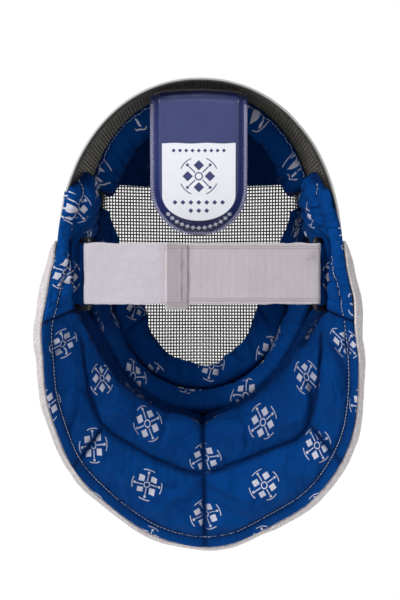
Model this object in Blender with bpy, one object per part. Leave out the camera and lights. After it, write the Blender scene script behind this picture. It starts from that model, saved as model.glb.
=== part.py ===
"""Fencing mask, seen in the photograph from the wearer's back.

Metres, +Z up, the face guard towards +Y, +X on the right of the photograph.  The origin is where
the crown sits on the wearer's head.

Everything that goes round the face is worked out in section planes through one hub line.  A section
plane is named by its angle: 0 is straight down, 90 is +X, -90 is -X and 180 is the crown.  In it a
point is (radius from the hub line, depth along +Y), and each piece is a loft through such sections.
"""

import math

import bmesh
import bpy
import numpy as np

# Hub line of all section planes, level with the ears.
HUB_Z = -0.118

# Rear rim of the mask, measured over its trim, and the wire shell's join to the face guard.
RIM_HALF_WIDTH = 0.1165
RIM_ABOVE = 0.145
RIM_BELOW = 0.156
RIM_POWER = 2.1
RIM_DEPTH_SIDE = -0.070
RIM_DEPTH_TOP = -0.058
RIM_DEPTH_BOTTOM = 0.022
JOIN_HALF_WIDTH = 0.101
JOIN_ABOVE = 0.132
JOIN_BELOW = 0.150
JOIN_POWER = 2.3
JOIN_DEPTH_SIDE = 0.012
JOIN_DEPTH_TOP = 0.040
JOIN_DEPTH_BOTTOM = 0.038

# Face guard: two flat flanks that meet in a crease, a curved profile, and steep side walls.
NOSE_DEPTH = 0.126
NOSE_Z = -0.125
FLANK_SLOPE = 0.54
CREASE_ROUNDING = 0.003
PROFILE_RADIUS = 0.180
WALL_SLOPE = 5.0
CORNER_BLEND = 0.020
BAND_BOW = 0.03
WIRE_WALL = 0.002

# Clearances between pieces that touch.
GAP = 0.0004
LINING_GAP = 0.001

# Rim trim: a U channel over the wire edge.
TRIM_THICK = 0.005
TRIM_WEB = 0.002
TRIM_LIP = 0.008
JOIN_STRIP_WIDTH = 0.012
JOIN_STRIP_THICK = 0.001

# Linings.
CHIN_PAD_THICK = 0.013
JAW_ROLL_THICK = 0.0085
CROWN_PAD_THICK = 0.010
LINING_FRONT = 0.75
PAD_EDGE = 0.003
SEAM_DIP = 0.45
BIB_CLOTH = 0.002
SIDE_SEAM_ANGLE = 66.0
SIDE_TOP_ANGLE = 123.0
BIB_END_ANGLE = 95.0
HEM_TURN = 1.8
SPLIT = 0.15
CURVE_EASE = 0.6

# Tongue that bends down behind the head, from a flange under the crown.
TONGUE_HALF_WIDTH = 0.0405
TONGUE_CENTRE_X = -0.001
TONGUE_TIP = (-0.022, -0.1015)
TONGUE_BACK_DEPTH = -0.047
TONGUE_FRONT_DEPTH = -0.024
TONGUE_THICK = 0.003
TONGUE_BEND = 0.006
TONGUE_FLANGE_HALF = 0.031
PANEL_INSET = 0.008
PANEL_RISE = 0.0045
PANEL_SLOPE = 0.003
LABEL_HALF_WIDTH = 0.0305
LABEL_RUN = (0.0135, 0.0785)
LABEL_ROUND = 0.0215
LABEL_THICK = 0.0008

# Head strap and its two loops.
STRAP_Z = -0.1345
STRAP_HEIGHT = 0.050
STRAP_THICK = 0.0018
STRAP_DEPTH = -0.0705
STRAP_RETURN = 0.038
OVERLAP_END_X = 0.040
OVERLAP_STEP_X = 0.055
TAB_X = (-0.0277, -0.0105)
RING_REAR_X = (-0.0905, 0.0942)
RING_REAR_DEPTH = -0.0668
RING_FRONT_X = 0.0955
RING_FRONT_LEAN = 0.0006
RING_FRONT_DEPTH = -0.046
RING_BAR = 0.002
RING_SLOT_HEIGHT = 0.0525
RING_CORNER = 0.0028
TAB_THICK = 0.0014
TAB_HEIGHT = 0.046
TAB_END = (0.1003, -0.030)

# Angle (degrees), radius of the face opening's edge and of the groove outside the chin pad.
CHIN_ROWS = (
    (0, 0.0975, 0.1190),
    (15, 0.0940, 0.1155),
    (30, 0.0840, 0.1090),
    (45, 0.0715, 0.1010),
    (60, 0.0660, 0.0920),
    (75, 0.0645, 0.0895),
    (90, 0.0690, 0.0915),
    (103, 0.0760, 0.0970),
    (110, 0.0840, 0.0985),
    (117, 0.0915, 0.0990),
)

# Angle, radius where the jaw roll starts on the wire, then radius and depth of its outer edge.
JAW_ROWS = (
    (0, 0.1215, 0.1370, 0.0620),
    (15, 0.1185, 0.1340, 0.0580),
    (30, 0.1125, 0.1240, 0.0480),
    (45, 0.1055, 0.1130, 0.0300),
    (60, 0.0990, 0.1050, 0.0120),
    (75, 0.0955, 0.1010, 0.0020),
    (92, 0.0940, 0.0990, -0.0020),
)

# Lining from the jaw outwards: angle, shell station of its front edge, shell station where it
# leaves the wire, (radius, depth) inside the rim and behind the rim, and its thickness.
#   angle  front  leave  in_r     in_y    back_r   back_y   thick
LINING_ROWS = (
    (0, 0.975, 1.35, 0.1490, 0.0170, 0.1600, 0.0160, 0.0090),
    (15, 0.980, 1.35, 0.1460, 0.0110, 0.1570, 0.0090, 0.0090),
    (30, 0.990, 1.40, 0.1375, -0.0070, 0.1480, -0.0105, 0.0088),
    (45, 1.020, 1.50, 0.1265, -0.0300, 0.1375, -0.0345, 0.0080),
    (60, 1.140, 1.60, 0.1188, -0.0530, 0.1280, -0.0590, 0.0064),
    (66, 1.180, 1.60, 0.1158, -0.0620, 0.1250, -0.0680, 0.0056),
    (75, 1.200, 1.65, 0.1124, -0.0690, 0.1190, -0.0750, 0.0052),
    (85, 1.250, 1.70, 0.1100, -0.0730, 0.1140, -0.0770, 0.0052),
    (92, 1.230, 1.70, 0.1090, -0.0735, 0.1115, -0.0765, 0.0056),
    (96, 1.110, 1.70, 0.1085, -0.0650, 0.1100, -0.0720, 0.0060),
    (100, 0.990, 1.60, 0.1095, -0.0560, 0.1105, -0.0640, 0.0066),
    (110, 0.985, 1.55, 0.1110, -0.0500, 0.1125, -0.0590, 0.0080),
    (123, 0.985, 1.55, 0.1165, -0.0480, 0.1178, -0.0570, 0.0090),
)

# Bib cloth: angle, shell station of its upper edge, shell station where it leaves the wire, then
# (radius, depth) it bows through, its widest radius on each side, and the depth of its hem.
#   angle  upper  leave  bow_r   bow_y   left_r  right_r  hem_y    turn_in
BIB_ROWS = (
    (0,    0.680, 0.82, 0.1800,  0.0880, 0.2570, 0.2570,  0.0520, 0.0030),
    (15,   0.700, 0.86, 0.1750,  0.0760, 0.2425, 0.2470,  0.0340, 0.0040),
    (30,   0.800, 0.92, 0.1680,  0.0440, 0.2178, 0.2280, -0.0020, 0.0055),
    (45,   0.930, 1.00, 0.1540,  0.0050, 0.1845, 0.1905, -0.0480, 0.0060),
    (60,   1.000, 1.10, 0.1380, -0.0280, 0.1573, 0.1555, -0.0760, 0.0060),
    (75,   1.200, 1.30, 0.1265, -0.0470, 0.1365, 0.1355, -0.0800, 0.0060),
    (88,   1.420, 1.50, 0.1200, -0.0560, 0.1245, 0.1240, -0.0760, 0.0040),
    (95,   1.620, 1.68, 0.1188, -0.0610, 0.1195, 0.1195, -0.0720, 0.0005),
)

SHELL_STEPS = 48
BAND_STATIONS = (1.0, 1.2, 1.4, 1.6, 1.8, 2.0)

WIRE_GREY = (0.10, 0.095, 0.09)
TRIM_GREY = (0.42, 0.41, 0.40)
NAVY = (0.03, 0.035, 0.13)
WHITE = (0.85, 0.86, 0.88)
LINING_BLUE = (0.006, 0.07, 0.26)
CLOTH_WHITE = (0.72, 0.66, 0.64)
STRAP_WHITE = (0.57, 0.52, 0.57)
BLACK = (0.012, 0.011, 0.012)


def clear_scene():
    """Remove what the scene holds."""
    for old in list(bpy.data.objects):
        bpy.data.objects.remove(old, do_unlink=True)


def material(name, colour, roughness, metallic=0.0):
    """A Principled material of one colour."""
    made = bpy.data.materials.new(name)
    made.use_nodes = True
    shader = made.node_tree.nodes["Principled BSDF"]
    shader.inputs["Base Color"].default_value = (*colour, 1.0)
    shader.inputs["Roughness"].default_value = roughness
    shader.inputs["Metallic"].default_value = metallic
    return made


def add_object(name, vertices, faces, finish):
    """A closed body from points and faces, its doubles merged and its faces turned outwards."""
    mesh = bpy.data.meshes.new(name)
    mesh.from_pydata([tuple(v) for v in vertices], [], faces)
    body = bmesh.new()
    body.from_mesh(mesh)
    bmesh.ops.remove_doubles(body, verts=body.verts, dist=1e-5)
    bmesh.ops.triangulate(body, faces=body.faces)
    bmesh.ops.recalc_face_normals(body, faces=body.faces)
    body.to_mesh(mesh)
    body.free()
    mesh.materials.append(finish)
    mesh.shade_smooth()
    mesh.set_sharp_from_angle(angle=math.radians(40))
    made = bpy.data.objects.new(name, mesh)
    bpy.context.collection.objects.link(made)
    return made


def loft_rings(name, rings, finish, closed=False):
    """A body through rings of equal point count, with flat ends unless it closes on itself."""
    rings = np.asarray(rings, dtype=float)
    count, size = rings.shape[:2]
    faces = []
    for i in range(count if closed else count - 1):
        here, there = i * size, (i + 1) % count * size
        for j in range(size):
            k = (j + 1) % size
            faces.append((here + j, here + k, there + k, there + j))
    if not closed:
        faces.append(tuple(range(size)))
        faces.append(tuple(range((count - 1) * size, count * size)))
    return add_object(name, rings.reshape(-1, 3), faces, finish)


def place(angles, sections):
    """Section points (radius, depth) turned into the room, one section for each angle in degrees."""
    turn = np.radians(np.asarray(angles, dtype=float))[:, None]
    radius, depth = sections[..., 0], sections[..., 1]
    return np.stack((radius * np.sin(turn), depth, HUB_Z - radius * np.cos(turn)), axis=-1)


def loop_radius(turn, half_width, above, below, power):
    """Superellipse radius round the hub, with one height above it and another below."""
    height = np.where(np.cos(turn) < 0, above, below)
    across = np.abs(np.sin(turn)) / half_width
    along = np.abs(np.cos(turn)) / height
    return (across**power + along**power) ** (-1.0 / power)


def loop_depth(turn, side, top, bottom):
    """Depth round a loop: its side value, swinging to the top and bottom values with cos squared."""
    end = np.where(np.cos(turn) < 0, top, bottom)
    return side + (end - side) * np.cos(turn) ** 2


def smooth_min(a, b, width):
    """The lower of two surfaces, with their corner rounded over the given width."""
    near = np.maximum(width - np.abs(a - b), 0.0)
    return np.minimum(a, b) - near**2 / (4.0 * width)


def front_depth(turn, radius):
    """Depth of the face guard's two flanks: a crease down the middle and a curved profile."""
    x = radius * np.sin(turn)
    z = HUB_Z - radius * np.cos(turn)
    crease = np.sqrt(x**2 + CREASE_ROUNDING**2) - CREASE_ROUNDING
    return NOSE_DEPTH - FLANK_SLOPE * crease - (z - NOSE_Z) ** 2 / (2 * PROFILE_RADIUS)


def face_stations(angles):
    """Stations of the face guard's facets: wide ones on the flanks, narrow ones round the knee where
    the flank turns into the side wall."""
    turn = np.radians(np.asarray(angles, dtype=float))[:, None]
    join_r = loop_radius(turn, JOIN_HALF_WIDTH, JOIN_ABOVE, JOIN_BELOW, JOIN_POWER)
    join_y = loop_depth(turn, JOIN_DEPTH_SIDE, JOIN_DEPTH_TOP, JOIN_DEPTH_BOTTOM)
    knee = 0.93
    for _ in range(4):
        knee = 1.0 - (front_depth(turn, knee * join_r) - join_y) / (WALL_SLOPE * join_r)
    reach = 1.15 * CORNER_BLEND / WALL_SLOPE / join_r
    flank = (knee - reach) * np.array((0.0, 0.23, 0.45, 0.66, 0.85))
    bend = knee + reach * np.array((-1.0, -0.4, 0.1, 0.6))
    return np.concatenate((flank, bend, np.ones_like(knee)), axis=1)


def shell(angles, stations):
    """Middle of the wire shell in section: stations 0 to 1 run from the hub over the face guard to
    the join, 1 to 2 on along the side band to the rim."""
    turn = np.radians(np.asarray(angles, dtype=float))[:, None]
    stations = np.broadcast_to(stations, (len(turn), np.shape(stations)[-1]))
    trim_half = TRIM_THICK / 2
    join_r = loop_radius(turn, JOIN_HALF_WIDTH, JOIN_ABOVE, JOIN_BELOW, JOIN_POWER)
    join_y = loop_depth(turn, JOIN_DEPTH_SIDE, JOIN_DEPTH_TOP, JOIN_DEPTH_BOTTOM)
    rim_r = loop_radius(turn, RIM_HALF_WIDTH, RIM_ABOVE, RIM_BELOW, RIM_POWER) - trim_half
    rim_y = loop_depth(turn, RIM_DEPTH_SIDE, RIM_DEPTH_TOP, RIM_DEPTH_BOTTOM)
    face_r = np.minimum(stations, 1.0) * join_r
    front = front_depth(turn, face_r)
    wall = join_y + WALL_SLOPE * (join_r - face_r)
    along = np.clip(stations - 1.0, 0.0, 1.0)
    bow = BAND_BOW * (join_y - rim_y)
    band_r = join_r + (rim_r - join_r) * along + bow * np.sin(np.pi * along)
    band_y = join_y + (rim_y - join_y) * along
    on_face = stations <= 1.0
    radius = np.where(on_face, face_r, band_r)
    depth = np.where(on_face, smooth_min(front, wall, CORNER_BLEND), band_y)
    return np.stack((radius, depth), axis=-1)


def outward(curves):
    """Unit normals of section curves, pointing away from the head."""
    along = np.gradient(curves, axis=1)
    normal = np.stack((-along[..., 1], along[..., 0]), axis=-1)
    return normal / np.linalg.norm(normal, axis=-1, keepdims=True)


def walls(curves, inner, outer):
    """Closed sections of a wall that runs along each curve, between two offsets from it."""
    normal = outward(curves)
    normal[curves[..., 0] < 1e-6] = (0.0, 1.0)
    outer_side = curves + normal * np.broadcast_to(outer, curves.shape[:2])[..., None]
    inner_side = curves + normal * np.broadcast_to(inner, curves.shape[:2])[..., None]
    return np.concatenate((outer_side, inner_side[:, ::-1]), axis=1)


def column(rows, index, angles, side=None):
    """One column of a table of rows at the given angles, smooth between the rows.  A pair of
    column numbers holds the left and the right side of the mask."""
    known = np.array([row[0] for row in rows], dtype=float)
    if side is not None:
        left = column(rows, index, angles)
        right = column(rows, side, angles)
        return np.where(np.asarray(angles) < 0, left, right)
    values = np.array([row[index] for row in rows], dtype=float)
    slope = np.gradient(values, known)
    slope[0] = 0.0 if known[0] == 0 else slope[0]
    at = np.clip(np.abs(np.asarray(angles, dtype=float)), known[0], known[-1])
    low = np.clip(np.searchsorted(known, at, side="right") - 1, 0, len(known) - 2)
    step = known[low + 1] - known[low]
    t = (at - known[low]) / step
    rise = values[low + 1] - values[low]
    start, end = slope[low] * step, slope[low + 1] * step
    return values[low] + t * start + t * t * (3 * rise - 2 * start - end) + t**3 * (start + end - 2 * rise)


def through(points, count):
    """Smooth curves of count points through a few section points each (shape: angles, points, 2)."""
    points = np.asarray(points)
    spans = points.shape[1] - 1
    slope = CURVE_EASE * np.gradient(points, axis=1)
    at = np.linspace(0, spans, count)
    low = np.minimum(at.astype(int), spans - 1)
    t = (at - low)[None, :, None]
    here, there = points[:, low], points[:, low + 1]
    start, end = slope[:, low], slope[:, low + 1]
    rise = there - here
    return here + t * start + t * t * (3 * rise - 2 * start - end) + t**3 * (start + end - 2 * rise)


def crown(count, edge, middle, lean=1.0):
    """Pad thickness across its width: thin edges and a round middle, which lean moves along."""
    across = np.linspace(0, 1, count) ** lean
    return edge + (middle - edge) * np.sqrt(np.sin(np.pi * across))


def whole_turn():
    """Angles of the shell's facets, all the way round."""
    return np.arange(SHELL_STEPS) * 360.0 / SHELL_STEPS


def part_turn(low, high, split=1):
    """The shell's own facet angles between two ends, each facet split, with the ends themselves."""
    step = 360.0 / SHELL_STEPS / split
    inner = np.arange(math.ceil(low / step + 0.1), math.floor(high / step - 0.1) + 1) * step
    return np.concatenate(((low,), inner, (high,)))


def make_face_mesh(finish):
    """Wire face guard, from the hub out to the join."""
    angles = whole_turn()
    sections = walls(shell(angles, face_stations(angles)), -WIRE_WALL / 2, WIRE_WALL / 2)
    points = place(angles, sections)
    return loft_rings("face_mesh", points, finish, closed=True)


def make_side_mesh(finish):
    """Wire band from the join back to the rim, a gap behind the face guard's edge."""
    angles = whole_turn()
    curves = shell(angles, BAND_STATIONS)
    curves[:, 0] -= (0.0, GAP)
    sections = walls(curves, -WIRE_WALL / 2, WIRE_WALL / 2)
    return loft_rings("side_mesh", place(angles, sections), finish, closed=True)


def make_mesh_join(finish):
    """Folded strip over the outside of the join."""
    angles = whole_turn()
    reach = JOIN_STRIP_WIDTH / 2
    inner = WIRE_WALL / 2 + 2 * GAP
    curves = shell(angles, (0.995, 1.0, 1.005))
    middle = curves[:, 1]
    along = curves[:, 2] - curves[:, 0]
    along /= np.linalg.norm(along, axis=1, keepdims=True)
    strip = np.stack((middle - along * reach, middle, middle + along * reach), axis=1)
    strip[:, 0] = clear_of_shell(angles, strip[:, 0])
    strip[:, 2] = clear_of_shell(angles, strip[:, 2])
    sections = walls(strip, inner, inner + JOIN_STRIP_THICK)
    return loft_rings("mesh_join", place(angles, sections), finish, closed=True)


def clear_of_shell(angles, points):
    """Section points moved out to the shell's middle where they lie inside it."""
    fine = shell(angles, np.linspace(0.9, 1.3, 41))
    nearest = np.argmin(np.linalg.norm(fine - points[:, None], axis=2), axis=1)
    return fine[np.arange(len(points)), nearest]


def make_rim_trim(finish):
    """U channel over the rear edge of the band, all the way round."""
    angles = whole_turn()
    band = shell(angles, (1.0, 2.0))
    lip = TRIM_LIP / np.linalg.norm(band[:, 1] - band[:, 0], axis=1)
    curves = shell(angles, np.stack((2.0 - lip, np.full_like(lip, 2.0)), axis=1))
    edge = curves[:, 1]
    back = curves[:, 1] - curves[:, 0]
    back /= np.linalg.norm(back, axis=1, keepdims=True)
    out = np.stack((-back[:, 1], back[:, 0]), axis=1)
    half = TRIM_THICK / 2
    slot = WIRE_WALL / 2 + GAP
    profile = (
        (half, -TRIM_LIP),
        (half, GAP + TRIM_WEB * 0.5),
        (half * 0.6, GAP + TRIM_WEB),
        (-half * 0.6, GAP + TRIM_WEB),
        (-half, GAP + TRIM_WEB * 0.5),
        (-half, -TRIM_LIP),
        (-slot, -TRIM_LIP),
        (-slot, GAP),
        (slot, GAP),
        (slot, -TRIM_LIP),
    )
    sections = np.stack([edge + out * across + back * along for across, along in profile], axis=1)
    return loft_rings("rim_trim", place(angles, sections), finish, closed=True)


def shell_side(angles, stations, gap):
    """Curves that follow the inside of the wire shell at a clearance, stations given per angle."""
    curves = shell(angles, stations)
    ahead = shell(angles, np.asarray(stations) + 0.01)
    along = ahead - curves
    along /= np.linalg.norm(along, axis=-1, keepdims=True)
    out = np.stack((-along[..., 1], along[..., 0]), axis=-1)
    return curves - out * (WIRE_WALL / 2 + gap)


def stations_at(angles, radii):
    """Face guard stations of the given radii."""
    turn = np.radians(np.asarray(angles, dtype=float))
    return radii / loop_radius(turn, JOIN_HALF_WIDTH, JOIN_ABOVE, JOIN_BELOW, JOIN_POWER)


def make_chin_pad(finish):
    """Wide padded U on the inside of the face guard, round the lower face opening."""
    end = CHIN_ROWS[-1][0]
    angles = part_turn(-end, end)
    first = stations_at(angles, column(CHIN_ROWS, 1, angles))
    last = stations_at(angles, column(CHIN_ROWS, 2, angles))
    across = np.linspace(0, 1, 7)[None, :]
    stations = first[:, None] * (1 - across) + last[:, None] * across
    base = shell_side(angles, stations, LINING_GAP)
    width = (column(CHIN_ROWS, 2, angles) - column(CHIN_ROWS, 1, angles)) / 0.025
    thick = crown(7, PAD_EDGE, CHIN_PAD_THICK)[None, :] * np.clip(width, 0.3, 1.0)[:, None]
    return loft_rings("chin_pad", place(angles, walls(base, -thick, 0.0)), finish)


def make_jaw_roll(finish):
    """Narrower padded roll outside the chin pad, in the corner of the face guard."""
    end = JAW_ROWS[-1][0]
    angles = part_turn(-end, end)
    near = stations_at(angles, column(JAW_ROWS, 1, angles))
    start = shell_side(angles, near[:, None], LINING_GAP)[:, 0]
    stop = np.stack((column(JAW_ROWS, 2, angles), column(JAW_ROWS, 3, angles)), axis=1)
    base = through(np.stack((start, (start + stop) / 2, stop), axis=1), 6)
    thick = crown(6, PAD_EDGE, JAW_ROLL_THICK, 1.4)[None, :]
    return loft_rings("jaw_roll", place(angles, walls(base, -thick, 0.0)), finish)


def hem_points(angles):
    """Middle of the bib cloth at its widest, and at its hem, where it turns in."""
    wide_r = column(BIB_ROWS, 5, angles, side=6) - BIB_CLOTH / 2
    hem_y = column(BIB_ROWS, 7, angles)
    turn_in = column(BIB_ROWS, 8, angles)
    wide = np.stack((wide_r, hem_y + HEM_TURN * turn_in), axis=1)
    return wide, np.stack((wide_r - turn_in, hem_y), axis=1)


def lining_base(angles, count):
    """Outer face of the lining from its front edge, past the rim, to its free edge."""
    front = shell_side(angles, column(LINING_ROWS, 1, angles)[:, None], LINING_GAP)[:, 0]
    leave = shell_side(angles, column(LINING_ROWS, 2, angles)[:, None], LINING_GAP)[:, 0]
    inside = np.stack((column(LINING_ROWS, 3, angles), column(LINING_ROWS, 4, angles)), axis=1)
    behind = np.stack((column(LINING_ROWS, 5, angles), column(LINING_ROWS, 6, angles)), axis=1)
    at_bib = hem_points(angles)[1] - (BIB_CLOTH / 2 + LINING_GAP, 0.001)
    at_rim = behind + (0.001, -0.006)
    edge = np.where((np.abs(angles) < BIB_END_ANGLE - 2)[:, None], at_bib, at_rim)
    points = np.stack((front, leave, inside, behind, (behind + edge) / 2, edge), axis=1)
    return through(points, count)


def lining_thickness(angles, count):
    """Thickness of the lining from its blunt front edge to its thin free edge."""
    middle = column(LINING_ROWS, 7, angles)[:, None]
    thick = crown(count, PAD_EDGE, middle)
    thick[:, 0] = LINING_FRONT * middle[:, 0]
    return thick


def make_side_lining(name, sign, finish):
    """Quilted lining of one side, from the seam under the ear up to its end beside the brow."""
    angles = sign * part_turn(SIDE_SEAM_ANGLE + SPLIT, SIDE_TOP_ANGLE - SPLIT, 2)
    base = lining_base(angles, 11)
    thick = lining_thickness(angles, 11)
    return loft_rings(name, place(angles, walls(base, -thick, 0.0)), finish)


def make_bib_lining(finish):
    """Quilted lining under the jaw, dipped along its radial seams and its long curved seam."""
    angles = part_turn(-SIDE_SEAM_ANGLE + SPLIT, SIDE_SEAM_ANGLE - SPLIT)
    base = lining_base(angles, 13)
    thick = lining_thickness(angles, 13)
    for seam in (-30.0, 0.0, 30.0):
        near = np.exp(-(((angles - seam) / 3.0) ** 2))
        thick *= 1 - SEAM_DIP * near[:, None] * (base[..., 0] > 0.16)
    return loft_rings("bib_lining", place(angles, walls(base, -thick, 0.0)), finish)


def make_forehead_pad(finish):
    """Lining of the crown and brow: it follows the band and the top of the face guard."""
    angles = part_turn(SIDE_TOP_ANGLE + SPLIT, 360 - SIDE_TOP_ANGLE - SPLIT)
    turn = np.radians(angles)
    brow = np.minimum(0.065 / np.abs(np.cos(turn)), 0.0975)
    join_r = loop_radius(turn, JOIN_HALF_WIDTH, JOIN_ABOVE, JOIN_BELOW, JOIN_POWER)
    first = brow / join_r
    last = 1.10 + 0.42 * np.cos(turn) ** 4
    bend = face_stations(angles)[:, 5:10]
    first = np.minimum(first, bend[:, 0] - 0.03)
    low = first[:, None] + (bend[:, :1] - first[:, None]) * np.array((0.0, 0.35, 0.7))[None, :]
    high = 1.0 + (last[:, None] - 1.0) * np.array((0.25, 0.6, 1.0))[None, :]
    base = shell_side(angles, np.concatenate((low, bend, high), axis=1), LINING_GAP)
    thick = crown(base.shape[1], PAD_EDGE, CROWN_PAD_THICK)[None, :]
    return loft_rings("forehead_pad", place(angles, walls(base, -thick, 0.0)), finish)


def make_bib_cloth(finish):
    """Outer cloth: it lies on the shell under the mouth, then flares down to its hem."""
    angles = part_turn(-BIB_END_ANGLE, BIB_END_ANGLE)
    off = WIRE_WALL / 2 + 2 * GAP + JOIN_STRIP_THICK + GAP + BIB_CLOTH / 2
    upper = column(BIB_ROWS, 1, angles)[:, None]
    leave = column(BIB_ROWS, 2, angles)[:, None]
    lie = shell_side(angles, upper + (leave - upper) * np.linspace(0, 1, 3), -off - WIRE_WALL / 2)
    bow = np.stack((column(BIB_ROWS, 3, angles), column(BIB_ROWS, 4, angles)), axis=1)[:, None]
    wide, hem = hem_points(angles)
    t = np.linspace(0, 1, 6)[None, 1:, None]
    flare = (1 - t) ** 2 * lie[:, -1:] + 2 * t * (1 - t) * bow + t**2 * wide[:, None]
    curves = np.concatenate((lie, flare, hem[:, None]), axis=1)
    return loft_rings("bib_cloth", place(angles, walls(curves, -BIB_CLOTH / 2, BIB_CLOTH / 2)), finish)


def crown_height(across, depth):
    """Height of the wire band's inner face over a spot under the crown."""
    angle = 180.0
    station = 1.5
    for _ in range(8):
        near = shell((angle,), (station, station + 0.01))[0]
        station += 0.01 * (depth - near[0, 1]) / (near[1, 1] - near[0, 1])
        angle = 180.0 - math.degrees(math.asin(across / near[0, 0]))
    radius = shell((angle,), (station,))[0, 0, 0]
    return HUB_Z - radius * math.cos(math.radians(angle)) - WIRE_WALL / 2


def tongue_profile(travels):
    """Side view of the tongue at travels from its tip: up behind the head, round a bend, then
    forwards under the crown.  Gives (depth, height) spots and the normals of the outer face."""
    drop = 2 * GAP + TONGUE_THICK / 2
    tip = np.array(TONGUE_TIP)
    depths = (TONGUE_BACK_DEPTH, TONGUE_FRONT_DEPTH)
    widest = TONGUE_FLANGE_HALF + abs(TONGUE_CENTRE_X)
    corner, front = (np.array((d, crown_height(widest, d) - drop)) for d in depths)
    up = (corner - tip) / np.linalg.norm(corner - tip)
    ahead = (front - corner) / np.linalg.norm(front - corner)
    swing = math.acos(float(up @ ahead))
    cut = TONGUE_BEND * math.tan(swing / 2)
    straight = float(np.linalg.norm(corner - tip)) - cut
    arc = TONGUE_BEND * swing
    back = np.array((-up[1], up[0]))
    centre = tip + up * straight - back * TONGUE_BEND
    total = straight + arc + np.linalg.norm(front - corner) - cut
    travels = np.where(travels < 0, total + travels, travels)
    part = np.clip((travels - straight) / TONGUE_BEND, 0.0, swing)[:, None]
    normals = back * np.cos(part) + up * np.sin(part)
    below = tip + up * np.minimum(travels, straight)[:, None]
    around = centre + normals * TONGUE_BEND
    spots = np.where(travels[:, None] <= straight, below, around)
    spots = spots + ahead * np.maximum(travels - straight - arc, 0.0)[:, None]
    return spots, normals, (straight, straight + arc)


def tongue_points(travels, across, lift):
    """Points of the tongue: travels (rows), across and lift from its middle sheet (rows, columns)."""
    spots, normals, _ = tongue_profile(travels)
    depth = spots[:, :1] + normals[:, :1] * lift
    height = spots[:, 1:] + normals[:, 1:] * lift
    return np.stack((TONGUE_CENTRE_X + across, depth, height), axis=-1)


def make_tongue(finish):
    """Padded tongue: a flat sewn border round a raised middle panel, round at its tip."""
    tip_round = TONGUE_HALF_WIDTH
    _, _, (bend, flange) = tongue_profile(np.zeros(1))
    round_part = tip_round * (1 - np.cos(np.radians((4, 22, 38, 52, 66, 78, 90))))
    straight_part = np.array((0.058, 0.078, 0.098, bend - 0.004, bend))
    bend_part = bend + (flange - bend) * np.array((0.33, 0.67, 1.0))
    travels = np.concatenate((round_part, straight_part, bend_part, (flange + 0.009, -0.0001)))
    reach = np.minimum(travels, tip_round)
    travels_known = np.where(travels < 0, flange + 0.02, travels)
    reach = np.where(travels < 0, tip_round, reach)
    half = np.sqrt(np.maximum(tip_round**2 - (tip_round - reach) ** 2, 0.0))
    shoulder = np.clip((travels_known - (bend - 0.004)) / (flange - bend + 0.004), 0.0, 1.0)
    half = half - (TONGUE_HALF_WIDTH - TONGUE_FLANGE_HALF) * shoulder
    panel = tip_round - PANEL_INSET
    inner = np.sqrt(np.maximum(panel**2 - (tip_round - reach) ** 2, 0.0))
    inner = np.clip(inner, PANEL_SLOPE + 0.001, half - 0.001 - 0.004 * (1 - shoulder) * (half > 0.02))
    rise = PANEL_RISE * np.clip((reach - PANEL_INSET) / PANEL_SLOPE, 0.0, 1.0) * (1 - shoulder)
    inner = np.where(reach < PANEL_INSET, np.minimum(inner, half * 0.6), inner)
    flat = np.maximum(inner - PANEL_SLOPE, inner * 0.2)
    sheet = np.full_like(half, TONGUE_THICK / 2)
    across = np.stack((-half, -half, -inner, -flat, flat, inner, half, half), axis=1)
    top = sheet + rise
    lift = np.stack((-sheet, sheet, sheet, top, top, sheet, sheet, -sheet), axis=1)
    return loft_rings("tongue_cover", tongue_points(travels, across, lift), finish)


def make_tongue_label(finish):
    """Blank panel on the tongue: flat top, wide round bottom."""
    low, high = LABEL_RUN
    turn = np.radians((6, 25, 45, 65, 90))
    travels = np.concatenate((low + LABEL_ROUND * (1 - np.cos(turn)), (0.055, high)))
    half = LABEL_HALF_WIDTH * np.concatenate((np.sin(turn), (1.0, 1.0)))
    base = np.full_like(half, TONGUE_THICK / 2 + PANEL_RISE + GAP)
    across = np.stack((-half, -half, half, half), axis=1)
    lift = np.stack((base, base + LABEL_THICK, base + LABEL_THICK, base), axis=1)
    return loft_rings("tongue_label", tongue_points(travels, across, lift), finish)


def make_strap_ring(name, sign, finish):
    """Rectangular loop: its rear bar carries the strap, its front bar lies on the side lining."""
    rear = np.array((RING_REAR_X[sign > 0], RING_REAR_DEPTH))
    span = abs(RING_FRONT_DEPTH - RING_REAR_DEPTH)
    half_height = RING_SLOT_HEIGHT / 2 + RING_BAR
    low, high_end = -half_height, half_height
    corners = ((0, low, 180), (span, low, 270), (span, high_end, 0), (0, high_end, 90))
    path = []
    for along, high, start in corners:
        centre_along = along - math.copysign(RING_CORNER, along - span / 2)
        centre_high = high - math.copysign(RING_CORNER, high)
        for turn in (0, 45, 90):
            angle = math.radians(start + turn)
            out = (math.cos(angle), math.sin(angle))
            path.append((centre_along + RING_CORNER * out[0], centre_high + RING_CORNER * out[1], out))
    rings = []
    for along, high, out in path:
        front_x = sign * (RING_FRONT_X - RING_FRONT_LEAN * high / half_height)
        ahead = np.array((front_x - rear[0], span)) / span
        side = np.array((-ahead[1], ahead[0])) / np.linalg.norm(ahead)
        ring = []
        for step in range(8):
            angle = math.radians(22.5 + 45 * step)
            reach = RING_BAR * math.cos(angle) / math.cos(math.radians(22.5))
            lift = RING_BAR * math.sin(angle) / math.cos(math.radians(22.5))
            flat = rear + ahead * (along + out[0] * reach) + side * lift
            ring.append((flat[0], flat[1], STRAP_Z + high + out[1] * reach))
        rings.append(ring)
    return loft_rings(name, rings, finish, closed=True)


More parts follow.
